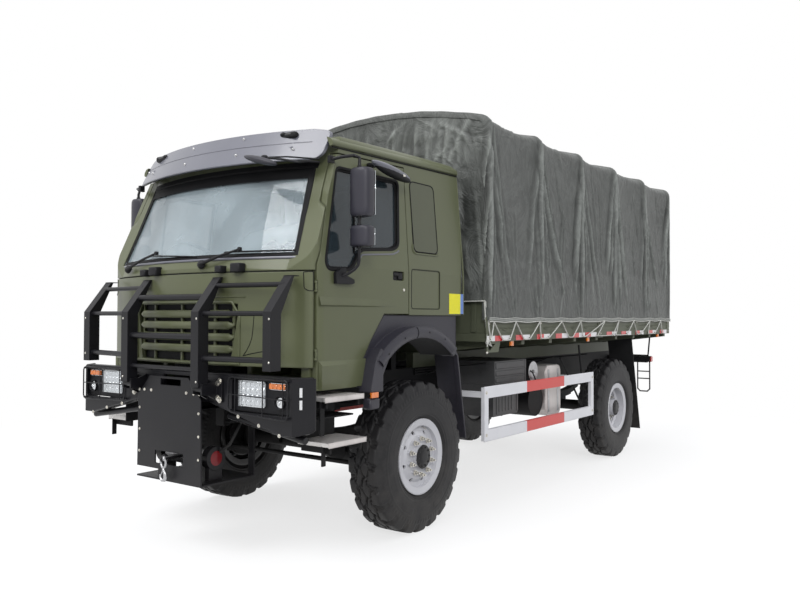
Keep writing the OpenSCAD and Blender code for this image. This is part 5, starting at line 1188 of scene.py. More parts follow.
def screen_frame():
    """Rubber seal and black printed border round the windscreen, a black strip under the visor as its painted shadow,
    and the silver bead along its foot.
    """
    seal, frit_and_shade, bead = shapes(3)
    corners = [(-0.990, 2.114), (0.990, 2.114), (0.911, 2.760), (-0.911, 2.760)]
    shares = [k / 26 for k in range(26)]
    edge = [on_screen(a + (c - a) * t, b + (d - b) * t, -0.002)
            for (a, b), (c, d) in zip(corners, corners[1:] + corners[:1]) for t in shares]
    seal.tube(edge, 0.0085, 8, closed=True)
    seal.make("screen_seal", "black_plastic", card_black)

    def band(zs, half_width, out):
        frit_and_shade.grid([[on_screen(x, z, out) for z in zs] for x in np.linspace(-half_width, half_width, 31)])
    # Black band behind the top of the glass, narrow side bands and the foot; the strip under the visor is a painted
    # shadow
    band((2.678, 2.715, 2.752), 0.905, 0.002)
    for s in (1, -1):
        frit_and_shade.grid([[on_screen(s * (0.986 - 0.1215 * (z - 2.114) - w), z, 0.002) for w in (0.0, 0.016, 0.034)]
                   for z in np.linspace(2.118, 2.755, 12)])
    band((2.116, 2.136), 0.985, 0.002)
    # Painted shadow of the visor: a black strip on the header under its lower edge
    band((2.752, 2.775, 2.802), 0.935, 0.0035)
    frit_and_shade.make("screen_border_and_visor_shade", "black_plastic", card_black)
    bead.tube([on_screen(x, 2.100, 0.002) for x in np.linspace(-0.985, 0.985, 31)], 0.010, 8)
    bead.make("screen_bead", "grey_plastic", visor_grey)


screen_frame()


def visor_dress():
    """Screws, roof lamps, front mirror and the edge bead of the sun visor."""
    black, screw, glass, bead = shapes(4)
    for x, z in ((0.804, 2.875), (0.340, 2.869), (-0.219, 2.864), (0.751, 3.005), (0.344, 3.000), (-0.205, 2.995),
                 (-0.780, 2.870), (-0.93, 2.90)):
        screw.lathe([(0, 0.0005), (-0.001, 0.009), (0.004, 0.013), (0.008, 0.013)], on_visor(x, z, 0.006),
                    (0, 1, 0.5), 14)
    for s in (1, -1):
        x, z = s * 0.722, 3.001
        y = visor_y(x, z)
        black.box((x - 0.075, y - 0.022, z - 0.028), (x + 0.075, y + 0.030, z + 0.018), 0.012)
        glass.ball((x + s * 0.008, y - 0.018, z), (0.034, 0.010, 0.010), 14)
        black.ball((x - s * 0.046, y - 0.012, z + 0.006), (0.026, 0.020, 0.018), 12)
    # Beads along the lower edge and along the pressed step in the middle
    bead.tube([on_visor(x, 2.797, 0.001) for x in np.linspace(-0.955, 0.955, 33)], 0.007, 8)
    bead.tube([on_visor(x, 2.932, -0.001) for x in np.linspace(-0.92, 0.92, 33)], 0.0045, 8)
    # Front mirror under the visor, on a bent arm
    c = (0.690, -1.318, 2.782)
    glass_tilt = Matrix.Rotation(math.radians(-16), 3, "Y")
    verts_from = len(glass.verts)
    glass.use(1).ball(c, (0.165, 0.050, 0.026), 24)
    glass.bend(verts_from, lambda *p: glass_tilt.transposed() @ (Vector(p) - Vector(c)) + Vector(c))
    black.ball((0.712, -1.300, 2.800), (0.030, 0.026, 0.020), 12)
    black.tube([(0.712, -1.300, 2.800), (0.86, -1.292, 2.775), (1.000, -1.262, 2.742), (1.030, -1.190, 2.756),
                (1.020, -1.075, 2.770)], 0.0075, 8)
    black.tube([(0.712, -1.300, 2.802), (0.90, -1.270, 2.790), (1.020, -1.075, 2.792)], 0.0055, 8)
    black.make("visor_fittings", "black_plastic", black_plastic)
    screw.make("visor_screws", "steel_wire", steel)
    bead.make("visor_bead", "grey_plastic", visor_grey)
    glass.make("front_mirror_and_lenses", "lamp_glass", [box_plastic, arch_plastic])


visor_dress()


# ---- cab sides -----------------------------------------------------------------------------------------------

WINDOW = [(-1.138, 2.062), (-0.958, 2.750), (-0.232, 2.750), (-0.280, 2.240), (-0.355, 2.206), (-0.742, 2.178),
          (-0.834, 2.057), (-0.878, 2.024), (-1.104, 2.018)]


def rounded(points, r, n=5):
    """A closed outline with its corners rounded."""
    out = []
    m = len(points)
    for i in range(m):
        p, q, s = Vector(points[i - 1]), Vector(points[i]), Vector(points[(i + 1) % m])
        a, b = (p - q), (s - q)
        ra = min(r, a.length * 0.45)
        rb = min(r, b.length * 0.45)
        p0, p1 = q + a.normalized() * ra, q + b.normalized() * rb
        for k in range(n + 1):
            t = k / n
            out.append(tuple(p0 * (1 - t) ** 2 + q * 2 * t * (1 - t) + p1 * t * t))
    return out


def door_dress(hand, s):
    """Window seal, handle, lock, pressings, mirror foot and kerb mirror of one door, drawn for the left side."""
    seal, black, steel_bits, pressed, light = shapes(5)
    line = rounded(WINDOW, 0.045)
    seal.tube([on_side(y, z, -0.006) for y, z in line], 0.0125, 8, closed=True)
    inner = rounded([(y * 0.955 - 0.030, 2.38 + (z - 2.38) * 0.955) for y, z in WINDOW], 0.04)
    seal.tube([on_side(y, z, -0.020) for y, z in inner], 0.009, 6, closed=True)
    # Bright lower flange of the window
    foot_line = [(-0.240, 2.262), (-0.300, 2.216), (-0.36, 2.196), (-0.738, 2.168), (-0.800, 2.09), (-0.85, 2.02)]
    flange = [(side_x(z) + 0.002, y, z - 0.024) for y, z in rounded(foot_line, 0.02)[6:-6]]
    light.tube(flange, 0.0065, 8)
    # Quarter-light bar
    seal.tube([(side_x(2.20) - 0.014, -0.800, 2.150), (side_x(2.7) - 0.014, -0.760, 2.740)], 0.008, 6)
    # Handle in its recess and the lock below it
    black.box((1.116, -0.371, 1.976), (1.121, -0.234, 2.041), 0.001)
    black.box((1.120, -0.368, 2.006), (1.141, -0.300, 2.036), 0.008)
    black.box((1.121, -0.300, 1.981), (1.134, -0.240, 2.037), 0.006)
    steel_bits.lathe([(0.0, 0.0115), (0.004, 0.0115), (0.006, 0.009), (0.006, 0.0005)], (1.138, -0.236, 1.904),
                     (1, 0, 0), 16)
    # Ledge across the door: proud at the front, dying away to the rear
    ys = np.linspace(-1.196, -0.300, 26)
    out = [0.013 * (1 - (y + 1.196) / 0.896) ** 0.9 for y in ys]
    rows = []
    for y, o in zip(ys, out):
        rows.append([(1.137, y, 1.835), (1.138 + o * 0.5, y, 1.805), (1.138 + o, y, 1.784), (1.138 + o, y, 1.776),
                     (1.137, y, 1.768 - 0.2 * o)])
    pressed.grid(rows)
    # Lower panel: a bright sloping step at the front that fades to the rear
    ys = np.linspace(-1.198, -0.700, 16)
    rows = []
    for y in ys:
        o = 0.030 * (1 - (y + 1.198) / 0.498)
        rows.append([(1.137, y, 1.398), (1.138 + 0.15 * o, y, 1.390), (1.138 + o, y, 1.366),
                     (1.138 + o * 0.95, y, 1.28), (1.138, y, 1.204)])
    pressed.grid(rows)
    pressed.grid([[(1.1365, -1.1985, z) for z in (1.398, 1.366, 1.204)],
                  [(1.168, -1.1985, z) for z in (1.370, 1.366, 1.205)]])
    # Mirror foot
    foot = [(-1.056, 2.000), (-0.985, 2.036), (-0.955, 2.034), (-0.945, 1.985), (-0.862, 1.958), (-0.858, 1.934),
            (-0.885, 1.924), (-1.052, 1.924)]
    black.prism(foot, "x", 1.139, 1.166)
    # Kerb mirror over the door's window
    _, ky, kz = kc = (1.170, -0.440, 2.792)
    start = len(light.verts)
    light.ball(kc, (0.052, 0.235, 0.030), 24)
    light.bend(start, lambda x, y, z: (x, y, z - 0.16 * (y - ky) - (0.006 if z < kz - 0.004 else 0)))
    start = len(black.verts)
    black.ball((1.170, -0.420, 2.777), (0.050, 0.220, 0.030), 24)
    black.bend(start, lambda x, y, z: (x, y, z - 0.16 * (y - ky)))
    black.box((1.066, -0.62, 2.800), (1.150, -0.56, 2.832), 0.010)
    black.tube([(1.075, -0.59, 2.815), (1.160, -0.585, 2.812)], 0.012, 8)
    steel_bits.box((1.212, -0.352, 2.756), (1.220, -0.326, 2.772), 0.002)
    if s < 0:
        for shape in (seal, black, steel_bits, pressed, light):
            shape.flip()
    body = f"{hand}_door"
    seal.make(f"window_seal_{hand}", "black_plastic", card_black, body=body)
    black.make(f"door_fittings_{hand}", "black_plastic", black_plastic, body=body, bevel=0.002)
    steel_bits.make(f"door_lock_{hand}", "steel_wire", zinc, body=body)
    pressed.make(f"door_pressings_{hand}", "olive_paint", olive_edge, body=body, angle=25)
    light.make(f"door_bright_{hand}", "grey_plastic", visor_grey, body=body)


def mirror_heads(hand, s):
    """Rounded mirror heads and bent tubes in place of the plain solids."""
    heads, tubes, faces = shapes(3)
    cx, cy = 1.264, -0.905

    def head(z0, z1, hw, hd):
        rows = []
        n = 36
        levels = [(0.0, 0.80), (0.03, 0.92), (0.08, 0.985), (0.2, 1.0), (0.5, 1.0), (0.8, 1.0), (0.92, 0.985),
                  (0.97, 0.92), (1.0, 0.80)]
        for t, k in levels:
            z = z0 + (z1 - z0) * t
            ring = []
            for i in range(n):
                a = 2 * math.pi * i / n
                ca, sa = math.cos(a), math.sin(a)
                sq = 1 / max(abs(ca) ** 4 + abs(sa) ** 4, 1e-9) ** 0.25
                x = hw * k * sq * ca
                y = hd * k * sq * sa
                if y < 0:
                    y *= 1.0 - 0.25 * (x / hw) ** 2
                ring.append((cx + x, cy + y, z))
            ring.append(ring[0])
            rows.append(ring)
        heads.grid(rows)
        for row in (rows[0], rows[-1]):
            heads.add(row[:-1], [list(range(n))])
        faces.box((cx - hw + 0.012, cy + hd - 0.001, z0 + 0.014), (cx + hw - 0.012, cy + hd + 0.0025, z1 - 0.014),
                  0.001)
    head(2.392, 2.728, 0.083, 0.062)
    head(2.182, 2.326, 0.083, 0.058)
    ty = cy - 0.022
    tubes.tube([(1.088, -1.020, 2.792), (1.150, -0.990, 2.806), (1.235, -0.955, 2.812), (1.254, ty + 0.006, 2.800),
                (1.260, ty, 2.770), (1.260, ty, 2.5), (1.260, ty, 2.2), (1.260, ty, 2.085),
                (1.254, ty - 0.004, 2.052), (1.238, -0.945, 2.026), (1.200, -0.962, 1.998), (1.160, -0.985, 1.978)],
               0.0115, 12)
    for z in (2.386, 2.734, 2.176, 2.332):
        tubes.lathe([(-0.010, 0.012), (-0.008, 0.017), (0.008, 0.017), (0.010, 0.012)], (1.260, ty, z), (0, 0, 1),
                    16)
    tubes.prism([(-1.044, 2.765), (-1.000, 2.765), (-1.000, 2.815), (-1.044, 2.815)], "x", 1.068, 1.096)
    if s < 0:
        for shape in (heads, tubes, faces):
            shape.flip()
    body = f"{hand}_door"
    heads.make(f"mirror_heads_{hand}", "black_plastic", arch_plastic, body=body, replaces=(f"mirrors_{hand}",),
               angle=60)
    tubes.make(f"mirror_arms_{hand}", "black_plastic", black_coat, body=body)
    faces.make(f"mirror_faces_{hand}", "clear_glass", mirror_face, body=body)


for hand, s in (("left", 1), ("right", -1)):
    door_dress(hand, s)
    mirror_heads(hand, s)


def cab_dress():
    """Roof gutters, seals, a painted shadow line under each gutter, blanked side windows, patches, hatch lines and
    corner covers.
    """
    gutter, seal, patch_y, patch_b, blank, line, pane = shapes(7)
    for s in (1, -1):
        # Rounded roof rail, thicker to the rear, with a black tube under it as its painted shadow line
        rows = []
        for y in np.linspace(-1.000, 0.640, 40):
            z = 2.905 + 0.028 * (y + 1.0) / 1.64
            x = side_x(z) - 0.004
            ring = [(s * (x - 0.040), y, z + 0.058), (s * (x - 0.010), y, z + 0.050),
                    (s * (x + 0.013), y, z + 0.026), (s * (x + 0.018), y, z + 0.006),
                    (s * (x + 0.014), y, z - 0.006), (s * (x + 0.002), y, z - 0.010),
                    (s * (x - 0.010), y, z - 0.008)]
            rows.append(ring)
        gutter.grid(rows)
        gutter.add(rows[0], [list(range(7))])
        gutter.add(rows[-1], [list(range(7))])
        # Painted shadow line under the roof rail: a thin black tube
        seal.tube([(s * (side_x(2.885) + 0.001), y, 2.888 + 0.028 * (y + 1.0) / 1.64)
                   for y in np.linspace(-0.99, 0.63, 20)], 0.0055, 6)
        # Blanked window: pane and its seal
        out = rounded([(-0.082, 2.212), (-0.082, 2.774), (0.256, 2.774), (0.256, 2.212)], 0.055)
        seal.tube([on_side(y, z, 0.001, s) for y, z in out], 0.0045, 8, closed=True)
        pane.grid([[on_side(y, z, 0.0015, s) for z in np.linspace(2.214, 2.772, 9)]
                   for y in np.linspace(-0.080, 0.254, 6)])
        sill = [(-0.096, 2.198), (-0.096, 2.30), (-0.096, 2.198), (0.270, 2.198), (0.270, 2.30)]
        blank.tube([on_side(y, z, 0.001, s) for y, z in rounded(sill, 0.05)[10:22]], 0.008, 8)
        # Hatch line
        out = rounded([(-0.130, 1.762), (-0.130, 2.068), (0.266, 2.068), (0.266, 1.762)], 0.026)
        line.tube([on_side(y, z, -0.001, s) for y, z in out], 0.0022, 6, closed=True)
        # Corner cover at the front of each door
        cover = [(0.155, 1.998), (0.085, 2.000), (0.085, 1.868), (0.125, 1.872), (0.150, 1.888)]
        turn_of = [(arc / CORNER_R, z) for arc, z in rounded(cover, 0.012)]
        r = CORNER_R + 0.0005
        line.tube([(s * (CORNER_X + r * math.cos(a)), CORNER_Y - r * math.sin(a), z) for a, z in turn_of], 0.0030,
                  6, closed=True)
        x = 1.1385
        patch_y.prism([(0.409, 1.723), (0.584, 1.723), (0.584, 1.893), (0.409, 1.893)], "x", s * x,
                      s * (x + 0.0015))
        patch_b.prism([(0.584, 1.723), (0.632, 1.723), (0.632, 1.893), (0.584, 1.893)], "x", s * x,
                      s * (x + 0.0014))
        # Rear edge bead of the cab
        blank.tube([on_side(0.636, z, -0.002, s) for z in np.linspace(1.715, 2.90, 14)], 0.007, 8)
    gutter.make("roof_gutters", "olive_paint", olive_edge, angle=60)
    seal.make("cab_seals_and_gutter_shade", "black_plastic", card_black)
    blank.make("cab_edge_beads", "olive_paint", olive_edge)
    pane.make("side_window_blanks", "olive_paint", blank_olive)
    line.make("hatch_lines", "black_plastic", card_black)
    patch_y.make("yellow_patches", "white_paint", yellow)
    patch_b.make("blue_patches", "white_paint", blue)


cab_dress()


def interior():
    """Padded seats, headrests, bunk, lining, sun blinds and the interior mirror."""
    def cushion(name, lo, hi, crown, mat=seat_cloth, lean=0.0):
        """A padded block: faces swell between pulled-in edges, with a stitched line across."""
        n = 14
        shape = Shape()
        c = [(a + b) / 2 for a, b in zip(lo, hi)]
        hsz = [(b - a) / 2 for a, b in zip(lo, hi)]
        for axis in range(3):
            a, b = [k for k in range(3) if k != axis]
            for sgn in (-1, 1):
                pts = []
                for i in range(n + 1):
                    row = []
                    for j in range(n + 1):
                        u, v = 2 * i / n - 1, 2 * j / n - 1
                        p = [0.0, 0.0, 0.0]
                        p[axis], p[a], p[b] = sgn, u, v
                        k = (abs(p[0]) ** 6 + abs(p[1]) ** 6 + abs(p[2]) ** 6) ** (1 / 6)
                        q = [p[m] / k for m in range(3)]
                        swell = crown * (1 - u * u) * (1 - v * v)
                        seam = 0.010 * math.exp(-((u * hsz[a]) % 0.16 - 0.08) ** 2 / 0.00006)
                        w = [c[m] + q[m] * (hsz[m] - crown) for m in range(3)]
                        w[axis] += sgn * (swell - seam)
                        w[1] += lean * (w[2] - lo[2])
                        row.append(tuple(w))
                    pts.append(row)
                shape.grid(pts)
        obj = shape.make(name, "cushion", mat, angle=60)
        return obj
    first = cushion("seat_base_right", (-0.88, -0.57, 2.010), (-0.40, -0.05, 2.155), 0.012)
    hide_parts("seats")
    cushion("seat_back_right", (-0.87, -0.160, 2.12), (-0.41, -0.040, 2.66), 0.012, lean=0.16)
    cushion("seat_base_left", (0.25, -0.57, 2.010), (0.87, -0.05, 2.155), 0.012)
    cushion("seat_back_left", (0.26, -0.160, 2.12), (0.86, -0.040, 2.66), 0.012, lean=0.16)
    cushion("headrest_right", (-0.77, -0.060, 2.665), (-0.51, 0.020, 2.82), 0.010, lean=0.0)
    cushion("headrest_left", (0.43, -0.060, 2.665), (0.69, 0.020, 2.82), 0.010, lean=0.0)
    cushion("bunk_mattress", (-0.99, 0.125, 1.975), (0.99, 0.575, 2.080), 0.010)
    base = Shape()
    for x0, x1 in ((-0.82, -0.46), (0.31, 0.81)):
        base.box((x0, -0.48, 1.7505), (x1, -0.12, 2.008), 0.015)
    base.box((-0.99, 0.13, 1.7505), (0.99, 0.57, 1.972), 0.01)
    base.make("seat_bases", "black_plastic", trim_dark)
    lining_shape = Shape()
    lining_shape.grid([[(x, y, 2.925 + 0.012 * (1 - (x / 0.9) ** 2)) for y in np.linspace(-0.86, 0.56, 6)]
                       for x in np.linspace(-0.92, 0.92, 9)])
    lining_shape.grid([[(x, 0.592, z) for z in np.linspace(1.80, 2.90, 5)] for x in np.linspace(-0.96, 0.96, 7)])
    lining_shape.make("cab_lining_panels", "grey_plastic", lining)
    blind = Shape()
    for x0, x1 in ((-0.80, -0.10), (0.10, 0.80)):
        blind.grid([[(x, screen_y(x, z) + 0.075 + 0.010 * math.sin(3.14 * k / 4), z)
                     for k, z in enumerate(np.linspace(2.62, 2.73, 5))]
                    for x in [x0 + (x1 - x0) * i / 8 for i in range(9)]])
    blind.make("sun_blinds", "black_plastic", trim_dark)
    mirror = Shape()
    mirror.ball((0.652, -0.90, 2.545), (0.048, 0.018, 0.092), 18)
    mirror.tube([(0.652, -0.90, 2.62), (0.664, -0.905, 2.68), (0.668, -0.93, 2.75)], 0.006, 8)
    mirror.make("interior_mirror", "black_plastic", card_black)
    dash = Shape()
    dash.box((-0.62, -0.995, 2.02), (-0.32, -0.965, 2.075), 0.01)
    rows = [[(x, y, 2.074 + 0.020 * math.sin((y + 1.17) / 0.18 * math.pi)) for y in np.linspace(-1.165, -0.992, 8)]
            for x in np.linspace(-0.985, 0.985, 20)]
    dash.grid(rows)
    for x in (-0.86, -0.05, 0.25, 0.86):
        dash.box((x - 0.06, -0.9895, 1.985), (x + 0.06, -0.984, 2.045), 0.004)
    dash.make("dash_top", "black_plastic", trim_dark)


interior()


# ---- arches, steps and the underside ---------------------------------------------------------------------------

def arch_dress():
    """Flares, seams and fixings of the front wheel arches, and a dark sheet inside each arch as painted shade."""
    seam, bolts, side, arch_shade = shapes(4)
    cy, cz = -0.118, 0.852

    def on_arch(x, r, t):
        return (x, cy + r * math.cos(t), cz + r * math.sin(t))
    for s in (1, -1):
        pts = [on_arch(s * (1.2350 + 0.017 * max(0.0, math.sin(math.pi * (r - 0.690) / 0.080)) ** 0.7),
                       r, math.radians(96)) for r in np.linspace(0.690, 0.770, 9)]
        seam.tube(pts, 0.0035, 6)
        seam.tube([(s * x, *pts[0][1:]) for x in (1.2355, 1.150)], 0.003, 6)
        # Rolled outer and inner lips of the flare, and its rounded face between them
        for r, rr in ((0.7705, 0.0070), (0.6895, 0.0060)):
            side.tube([on_arch(s * 1.231, r, t) for t in np.radians(np.linspace(52, 137, 40))], rr, 8)
        side.grid([[on_arch(s * (1.2345 + 0.017 * math.sin(math.pi * k / 8) ** 0.7), 0.690 + 0.080 * k / 8, t)
                    for k in range(9)] for t in np.radians(np.linspace(53, 136, 44))])
        for deg in (66, 84, 110, 128):
            bolts.ball(on_arch(s * 1.2525, 0.729, math.radians(deg)), (0.003, 0.008, 0.008), 10)
        # Lip of the mud flap and its stay
        side.tube([(s * 1.079, 0.572, 1.372), (s * 1.079, 0.586, 1.34), (s * 1.079, 0.716, 0.66)], 0.008, 8)
        side.tube([(s * 0.905, 0.570, 1.372), (s * 1.079, 0.570, 1.372)], 0.008, 8)
        # Hinged cap at the foot of the flare
        side.box((s * 1.150, -0.752, 1.035), (s * 1.228, -0.640, 1.118), 0.012)
    # Dark sheet inside each arch: painted shade over the tyre
    for s in (1, -1):
        arch_shade.grid([[on_arch(s * x, 0.684, t) for x in (0.915, 1.02, 1.12, 1.224)]
                    for t in np.radians(np.linspace(51, 138, 36))])
    arch_shade.make("arch_shade_sheets", "flap_rubber", card_black)
    seam.make("flare_seams", "black_plastic", card_black)
    bolts.make("flare_fixings", "black_plastic", black_plastic)
    side.make("flare_lips", "black_plastic", arch_plastic)


arch_dress()


def step_dress():
    """Nosings, hangers and pressed studs of the steps."""
    nose, hang, studs = shapes(3)
    for s in (1, -1):
        for top, y0, y1 in ((1.162, -1.250, -0.840), (0.858, -1.212, -0.812)):
            nose.box((s * 1.236, y0 + 0.002, top - 0.034), (s * 1.243, y1 - 0.002, top + 0.003), 0.002)
            for i in range(9):
                for j in range(22):
                    x, y = 0.972 + 0.029 * i, y0 + 0.016 + (y1 - y0 - 0.03) * j / 21
                    a = 0.009 if (i + j) % 2 else 0.0035
                    b = 0.0035 if (i + j) % 2 else 0.009
                    studs.ball((s * x, y, top), (a, b, 0.0022), 6)
            for y in (y0 + 0.03, y1 - 0.05):
                hang.box((s * 0.962, y, top - 0.075), (s * 1.225, y + 0.020, top - 0.0265), 0.003)
        # Side plate, front stay and a splash panel behind the steps
        hang.box((s * 1.175, -1.236, 0.905), (s * 1.187, -1.190, 1.138), 0.003)
        hang.box((s * 1.175, -1.215, 0.700), (s * 1.187, -1.175, 0.835), 0.003)
        hang.box((s * 0.966, -1.225, 1.010), (s * 1.16, -0.86, 1.022), 0.002)
    nose.make("step_nosings", "aluminium_tread", alloy)
    studs.make("step_studs", "aluminium_tread", alloy)
    hang.make("step_hangers", "chassis_paint", chassis)


step_dress()


def side_gear():
    """Battery box ribs and straps, tank straps, drum ends, guard stays, air lines and cables."""
    ribs, straps, stay, pipe = shapes(4)
    for low, high in ((1.208, 1.270), (1.142, 1.190), (1.080, 1.124)):
        ribs.box((1.0615, 1.330, low), (1.070, 1.905, high), 0.006)
    for y in (1.318, 1.925):
        ribs.box((0.440, y - 0.008, 1.066), (1.066, y + 0.008, 1.285), 0.004)
    for y in (1.380, 1.780):
        ribs.box((1.041, y, 0.780), (1.047, y + 0.030, 1.055), 0.002)
    for k in range(5):
        ribs.box((1.041, 1.430 + 0.062 * k, 0.800), (1.046, 1.470 + 0.062 * k, 1.030), 0.003)
    for y in (2.440, 2.665):
        straps.box((1.0615, y, 0.700), (1.066, y + 0.036, 1.150), 0.001)
        straps.box((0.500, y, 1.1895), (1.050, y + 0.036, 1.194), 0.001)
    straps.lathe([(0, 0.020), (0.003, 0.060), (0.006, 0.092), (0.002, 0.1035)], (1.062, 2.105, 1.146), (1, 0, 0),
                 36)
    straps.lathe([(0, 0.012), (0.016, 0.011), (0.017, 0.0005)], (1.066, 2.105, 1.146), (1, 0, 0), 16)
    pipe.tube([(1.064, 2.030, 1.160), (1.090, 2.040, 1.140), (1.095, 2.10, 1.060), (1.090, 2.17, 1.050)], 0.007, 8)
    stay.tube([(1.100, 2.664, 1.260), (1.100, 3.240, 0.700)], 0.011, 8)
    stay.tube([(1.110, 3.130, 1.390), (1.150, 3.205, 0.680)], 0.011, 8)
    stay.tube([(1.190, 3.205, 0.700), (1.110, 3.220, 0.690)], 0.012, 8)
    for y in (1.10, 2.50, 3.40):
        stay.tube([(0.43, y, 1.15), (0.60, y + 0.04, 1.22), (0.90, y + 0.05, 1.25), (1.10, y, 1.28)], 0.008, 6)
    for k in range(3):
        z = 1.16 + 0.022 * k
        for s in (1, -1):
            pipe.tube([(s * 0.438, 0.9, z), (s * 0.440, 2.0, z + 0.01), (s * 0.440, 3.0, z - 0.01),
                       (s * 0.436, 3.6, z)], 0.008, 6)
    ribs.make("battery_box_ribs", "black_plastic", box_plastic)
    straps.make("tank_straps", "tank_alloy", steel)
    stay.make("guard_stays", "chassis_paint", chassis)
    pipe.make("air_lines", "black_plastic", rubber)
    # Guard rails: round edges and bolt heads
    caps, heads = shapes(2)
    for s in (1, -1):
        for y in (0.868, 3.215):
            for z in (0.662, 1.033):
                heads.bolt((s * 1.2335, y, z), (s, 0, 0), 0.011, 0.008)
        for z in (0.612, 1.083):
            caps.tube([(s * 1.228, 0.835, z), (s * 1.228, 3.248, z)], 0.0055, 6)
    heads.make("guard_bolts", "steel_wire", zinc)
    caps.make("guard_edges", "white_paint", guard_paint)


side_gear()


def bed_dress():
    """Tape, posts, swages, strap slots and bolts along the load bed, and the tailgate's frame and latches."""
    posts, tape_r, tape_w, bolts = shapes(4)
    reds = [(0.984, 1.111), (1.377, 1.517), (1.809, 1.963), (2.237, 2.381), (2.680, 2.811), (2.985, 3.137),
            (3.600, 3.760), (4.070, 4.225), (4.560, 4.710), (5.060, 5.200), (5.500, 5.640)]
    whites = [(0.843, 0.984), (1.111, 1.261), (1.517, 1.661), (1.963, 2.098), (2.381, 2.528), (2.811, 2.970),
              (3.137, 3.300), (3.760, 3.900), (4.225, 4.400), (4.710, 4.850), (5.200, 5.330), (5.640, 5.780)]
    for s in (1, -1):
        x = BED_X
        for a, b in reds:
            tape_r.box((s * x, a, 1.484), (s * (x + 0.0018), b, 1.532))
        for a, b in whites:
            tape_w.box((s * x, a, 1.484), (s * (x + 0.0018), b, 1.532))
        # Posts of the side boards
        for y in (0.885, 1.90, 3.42, 4.60, 5.840):
            w = 0.050 if y != 3.42 else 0.075
            posts.box((s * 1.240, y - w, 1.470 if y == 3.42 else 1.500), (s * BED_X, y + w, 1.700), 0.004)
            for z in (1.515, 1.64):
                bolts.bolt((s * BED_X, y, z), (s, 0, 0), 0.008, 0.005)
        # Horizontal swages of the side boards
        for z in (1.60, 1.75, 1.95, 2.10):
            posts.tube([(s * 1.2440, 0.90, z), (s * 1.2440, 5.88, z)], 0.006, 6)
        # Strap slots
        for y in (1.18, 2.02, 2.68, 3.02, 4.30, 5.20):
            posts.tube([(s * 1.2445, y - 0.04, 1.585), (s * 1.2500, y, 1.577), (s * 1.2445, y + 0.04, 1.585)],
                       0.006, 6)
        # Corner pulley of the front bracket
        bolts.ball((s * 1.246, 0.852, 1.387), (0.012, 0.012, 0.012), 12)
    # Front board posts behind the cab
    for x in (-1.10, -0.55, 0.0, 0.55, 1.10):
        posts.box((x - 0.025, 0.866, 1.56), (x + 0.025, 0.8775, 2.150), 0.003)
    posts.make("board_posts", "olive_paint", bed_olive)
    tape_r.make("red_tape", "red_plastic", tape_red)
    tape_w.make("white_tape", "white_paint", tape_white)
    bolts.make("bed_bolts", "steel_wire", zinc)
    # Tailgate: pressed frame, ribs, latches, tape and chain hooks
    gate, latch, gate_tape = shapes(3)
    y = 5.949
    z0, z1 = 1.562, 2.147
    gate.box((-1.22, y - 0.004, z0), (1.22, y + 0.004, z0 + 0.06), 0.003)
    gate.box((-1.22, y - 0.004, z1 - 0.05), (1.22, y + 0.004, z1), 0.003)
    for x in (-1.19, -0.60, 0.0, 0.60, 1.19):
        gate.box((x - 0.030, y - 0.004, z0), (x + 0.030, y + 0.004, z1), 0.003)
    for s in (1, -1):
        latch.box((s * 1.225 - 0.02, y - 0.002, 2.04), (s * 1.225 + 0.018, y + 0.016, 2.12), 0.005)
        latch.tube([(s * 1.215, y + 0.010, 2.13), (s * 1.215, y + 0.020, 2.08), (s * 1.190, y + 0.020, 2.00)],
                   0.008, 8)
    for k in range(10):
        x = -1.08 + k * 0.24
        gate_tape.box((x - 0.06, y + 0.0035, 1.600), (x + 0.06, y + 0.0050, 1.648))
    gate.make("tailgate_ribs", "olive_paint", bed_olive, body="tailboard")
    latch.make("tailgate_latches", "steel_wire", zinc, body="tailboard")
    gate_tape.make("tailgate_tape", "white_paint", tape_rear, body="tailboard")


tape_red = finish_of("tape_red", (0.62, 0.018, 0.022), rough=0.28, vary=0.10, vary_scale=60, bump=0.5,
                     bump_scale=420, coat=0.5)
tape_white = finish_of("tape_white", (0.80, 0.79, 0.80), rough=0.28, vary=0.06, vary_scale=60, bump=0.5,
                       bump_scale=420, coat=0.5)
tape_rear = banded("tape_rear", [(-1.14 + 0.48 * k, -0.90 + 0.48 * k) for k in range(5)], 0, (0.62, 0.018, 0.022),
                   (0.80, 0.79, 0.80))
bed_dress()


def rear_dress():
    """Lamp clusters, blank plate, reflectors and the under-run bar at the back."""
    dark, red, amb, white, plate = shapes(5)
    y = 5.7955
    for s in (1, -1):
        x0 = 0.62
        dark.box((s * x0, y - 0.004, 1.066), (s * (x0 + 0.36), y + 0.030, 1.176), 0.006)
        for k, shape in enumerate((red, red, amb, white)):
            cx = s * (x0 + 0.050 + 0.087 * k)
            shape.lathe([(0.030, 0.0375), (0.040, 0.036), (0.046, 0.028), (0.049, 0.012), (0.050, 0.0005)],
                        (cx, y - 0.002, 1.121), (0, 1, 0), 28)
        red.box((s * 1.16, 5.9455 - 0.045, 1.502), (s * 1.21, 5.9475 - 0.045, 1.532), 0.0005)
    plate.box((-0.26, y - 0.001, 1.040), (0.26, y + 0.004, 1.165), 0.003)
    dark.box((-0.03, y - 0.002, 1.172), (0.03, y + 0.024, 1.192), 0.004)
    dark.make("rear_lamp_boxes", "black_plastic", black_plastic)
    red.make("rear_lamps_red", "red_plastic", red_lens)
    amb.make("rear_lamps_amber", "amber_plastic", amber)
    white.make("rear_lamps_clear", "lamp_glass", reflector_white)
    bar = Shape()
    bar.box((-0.42, y - 0.06, 1.062), (0.42, y - 0.002, 1.160), 0.006)
    bar.make("rear_middle_bar", "chassis_paint", chassis)
    plate.make("blank_plate", "white_paint", reflector_white)
    # Bed markers: moulded lens over each amber block
    lens = Shape()
    for s in (1, -1):
        for yy in (1.325, 3.088, 5.447):
            lens.ball((s * 1.2420, yy, 1.457), (0.007, 0.024, 0.019), 12)
    lens.make("marker_lenses", "amber_plastic", amber)


rear_dress()


# ---- stage ---------------------------------------------------------------------------------------------------

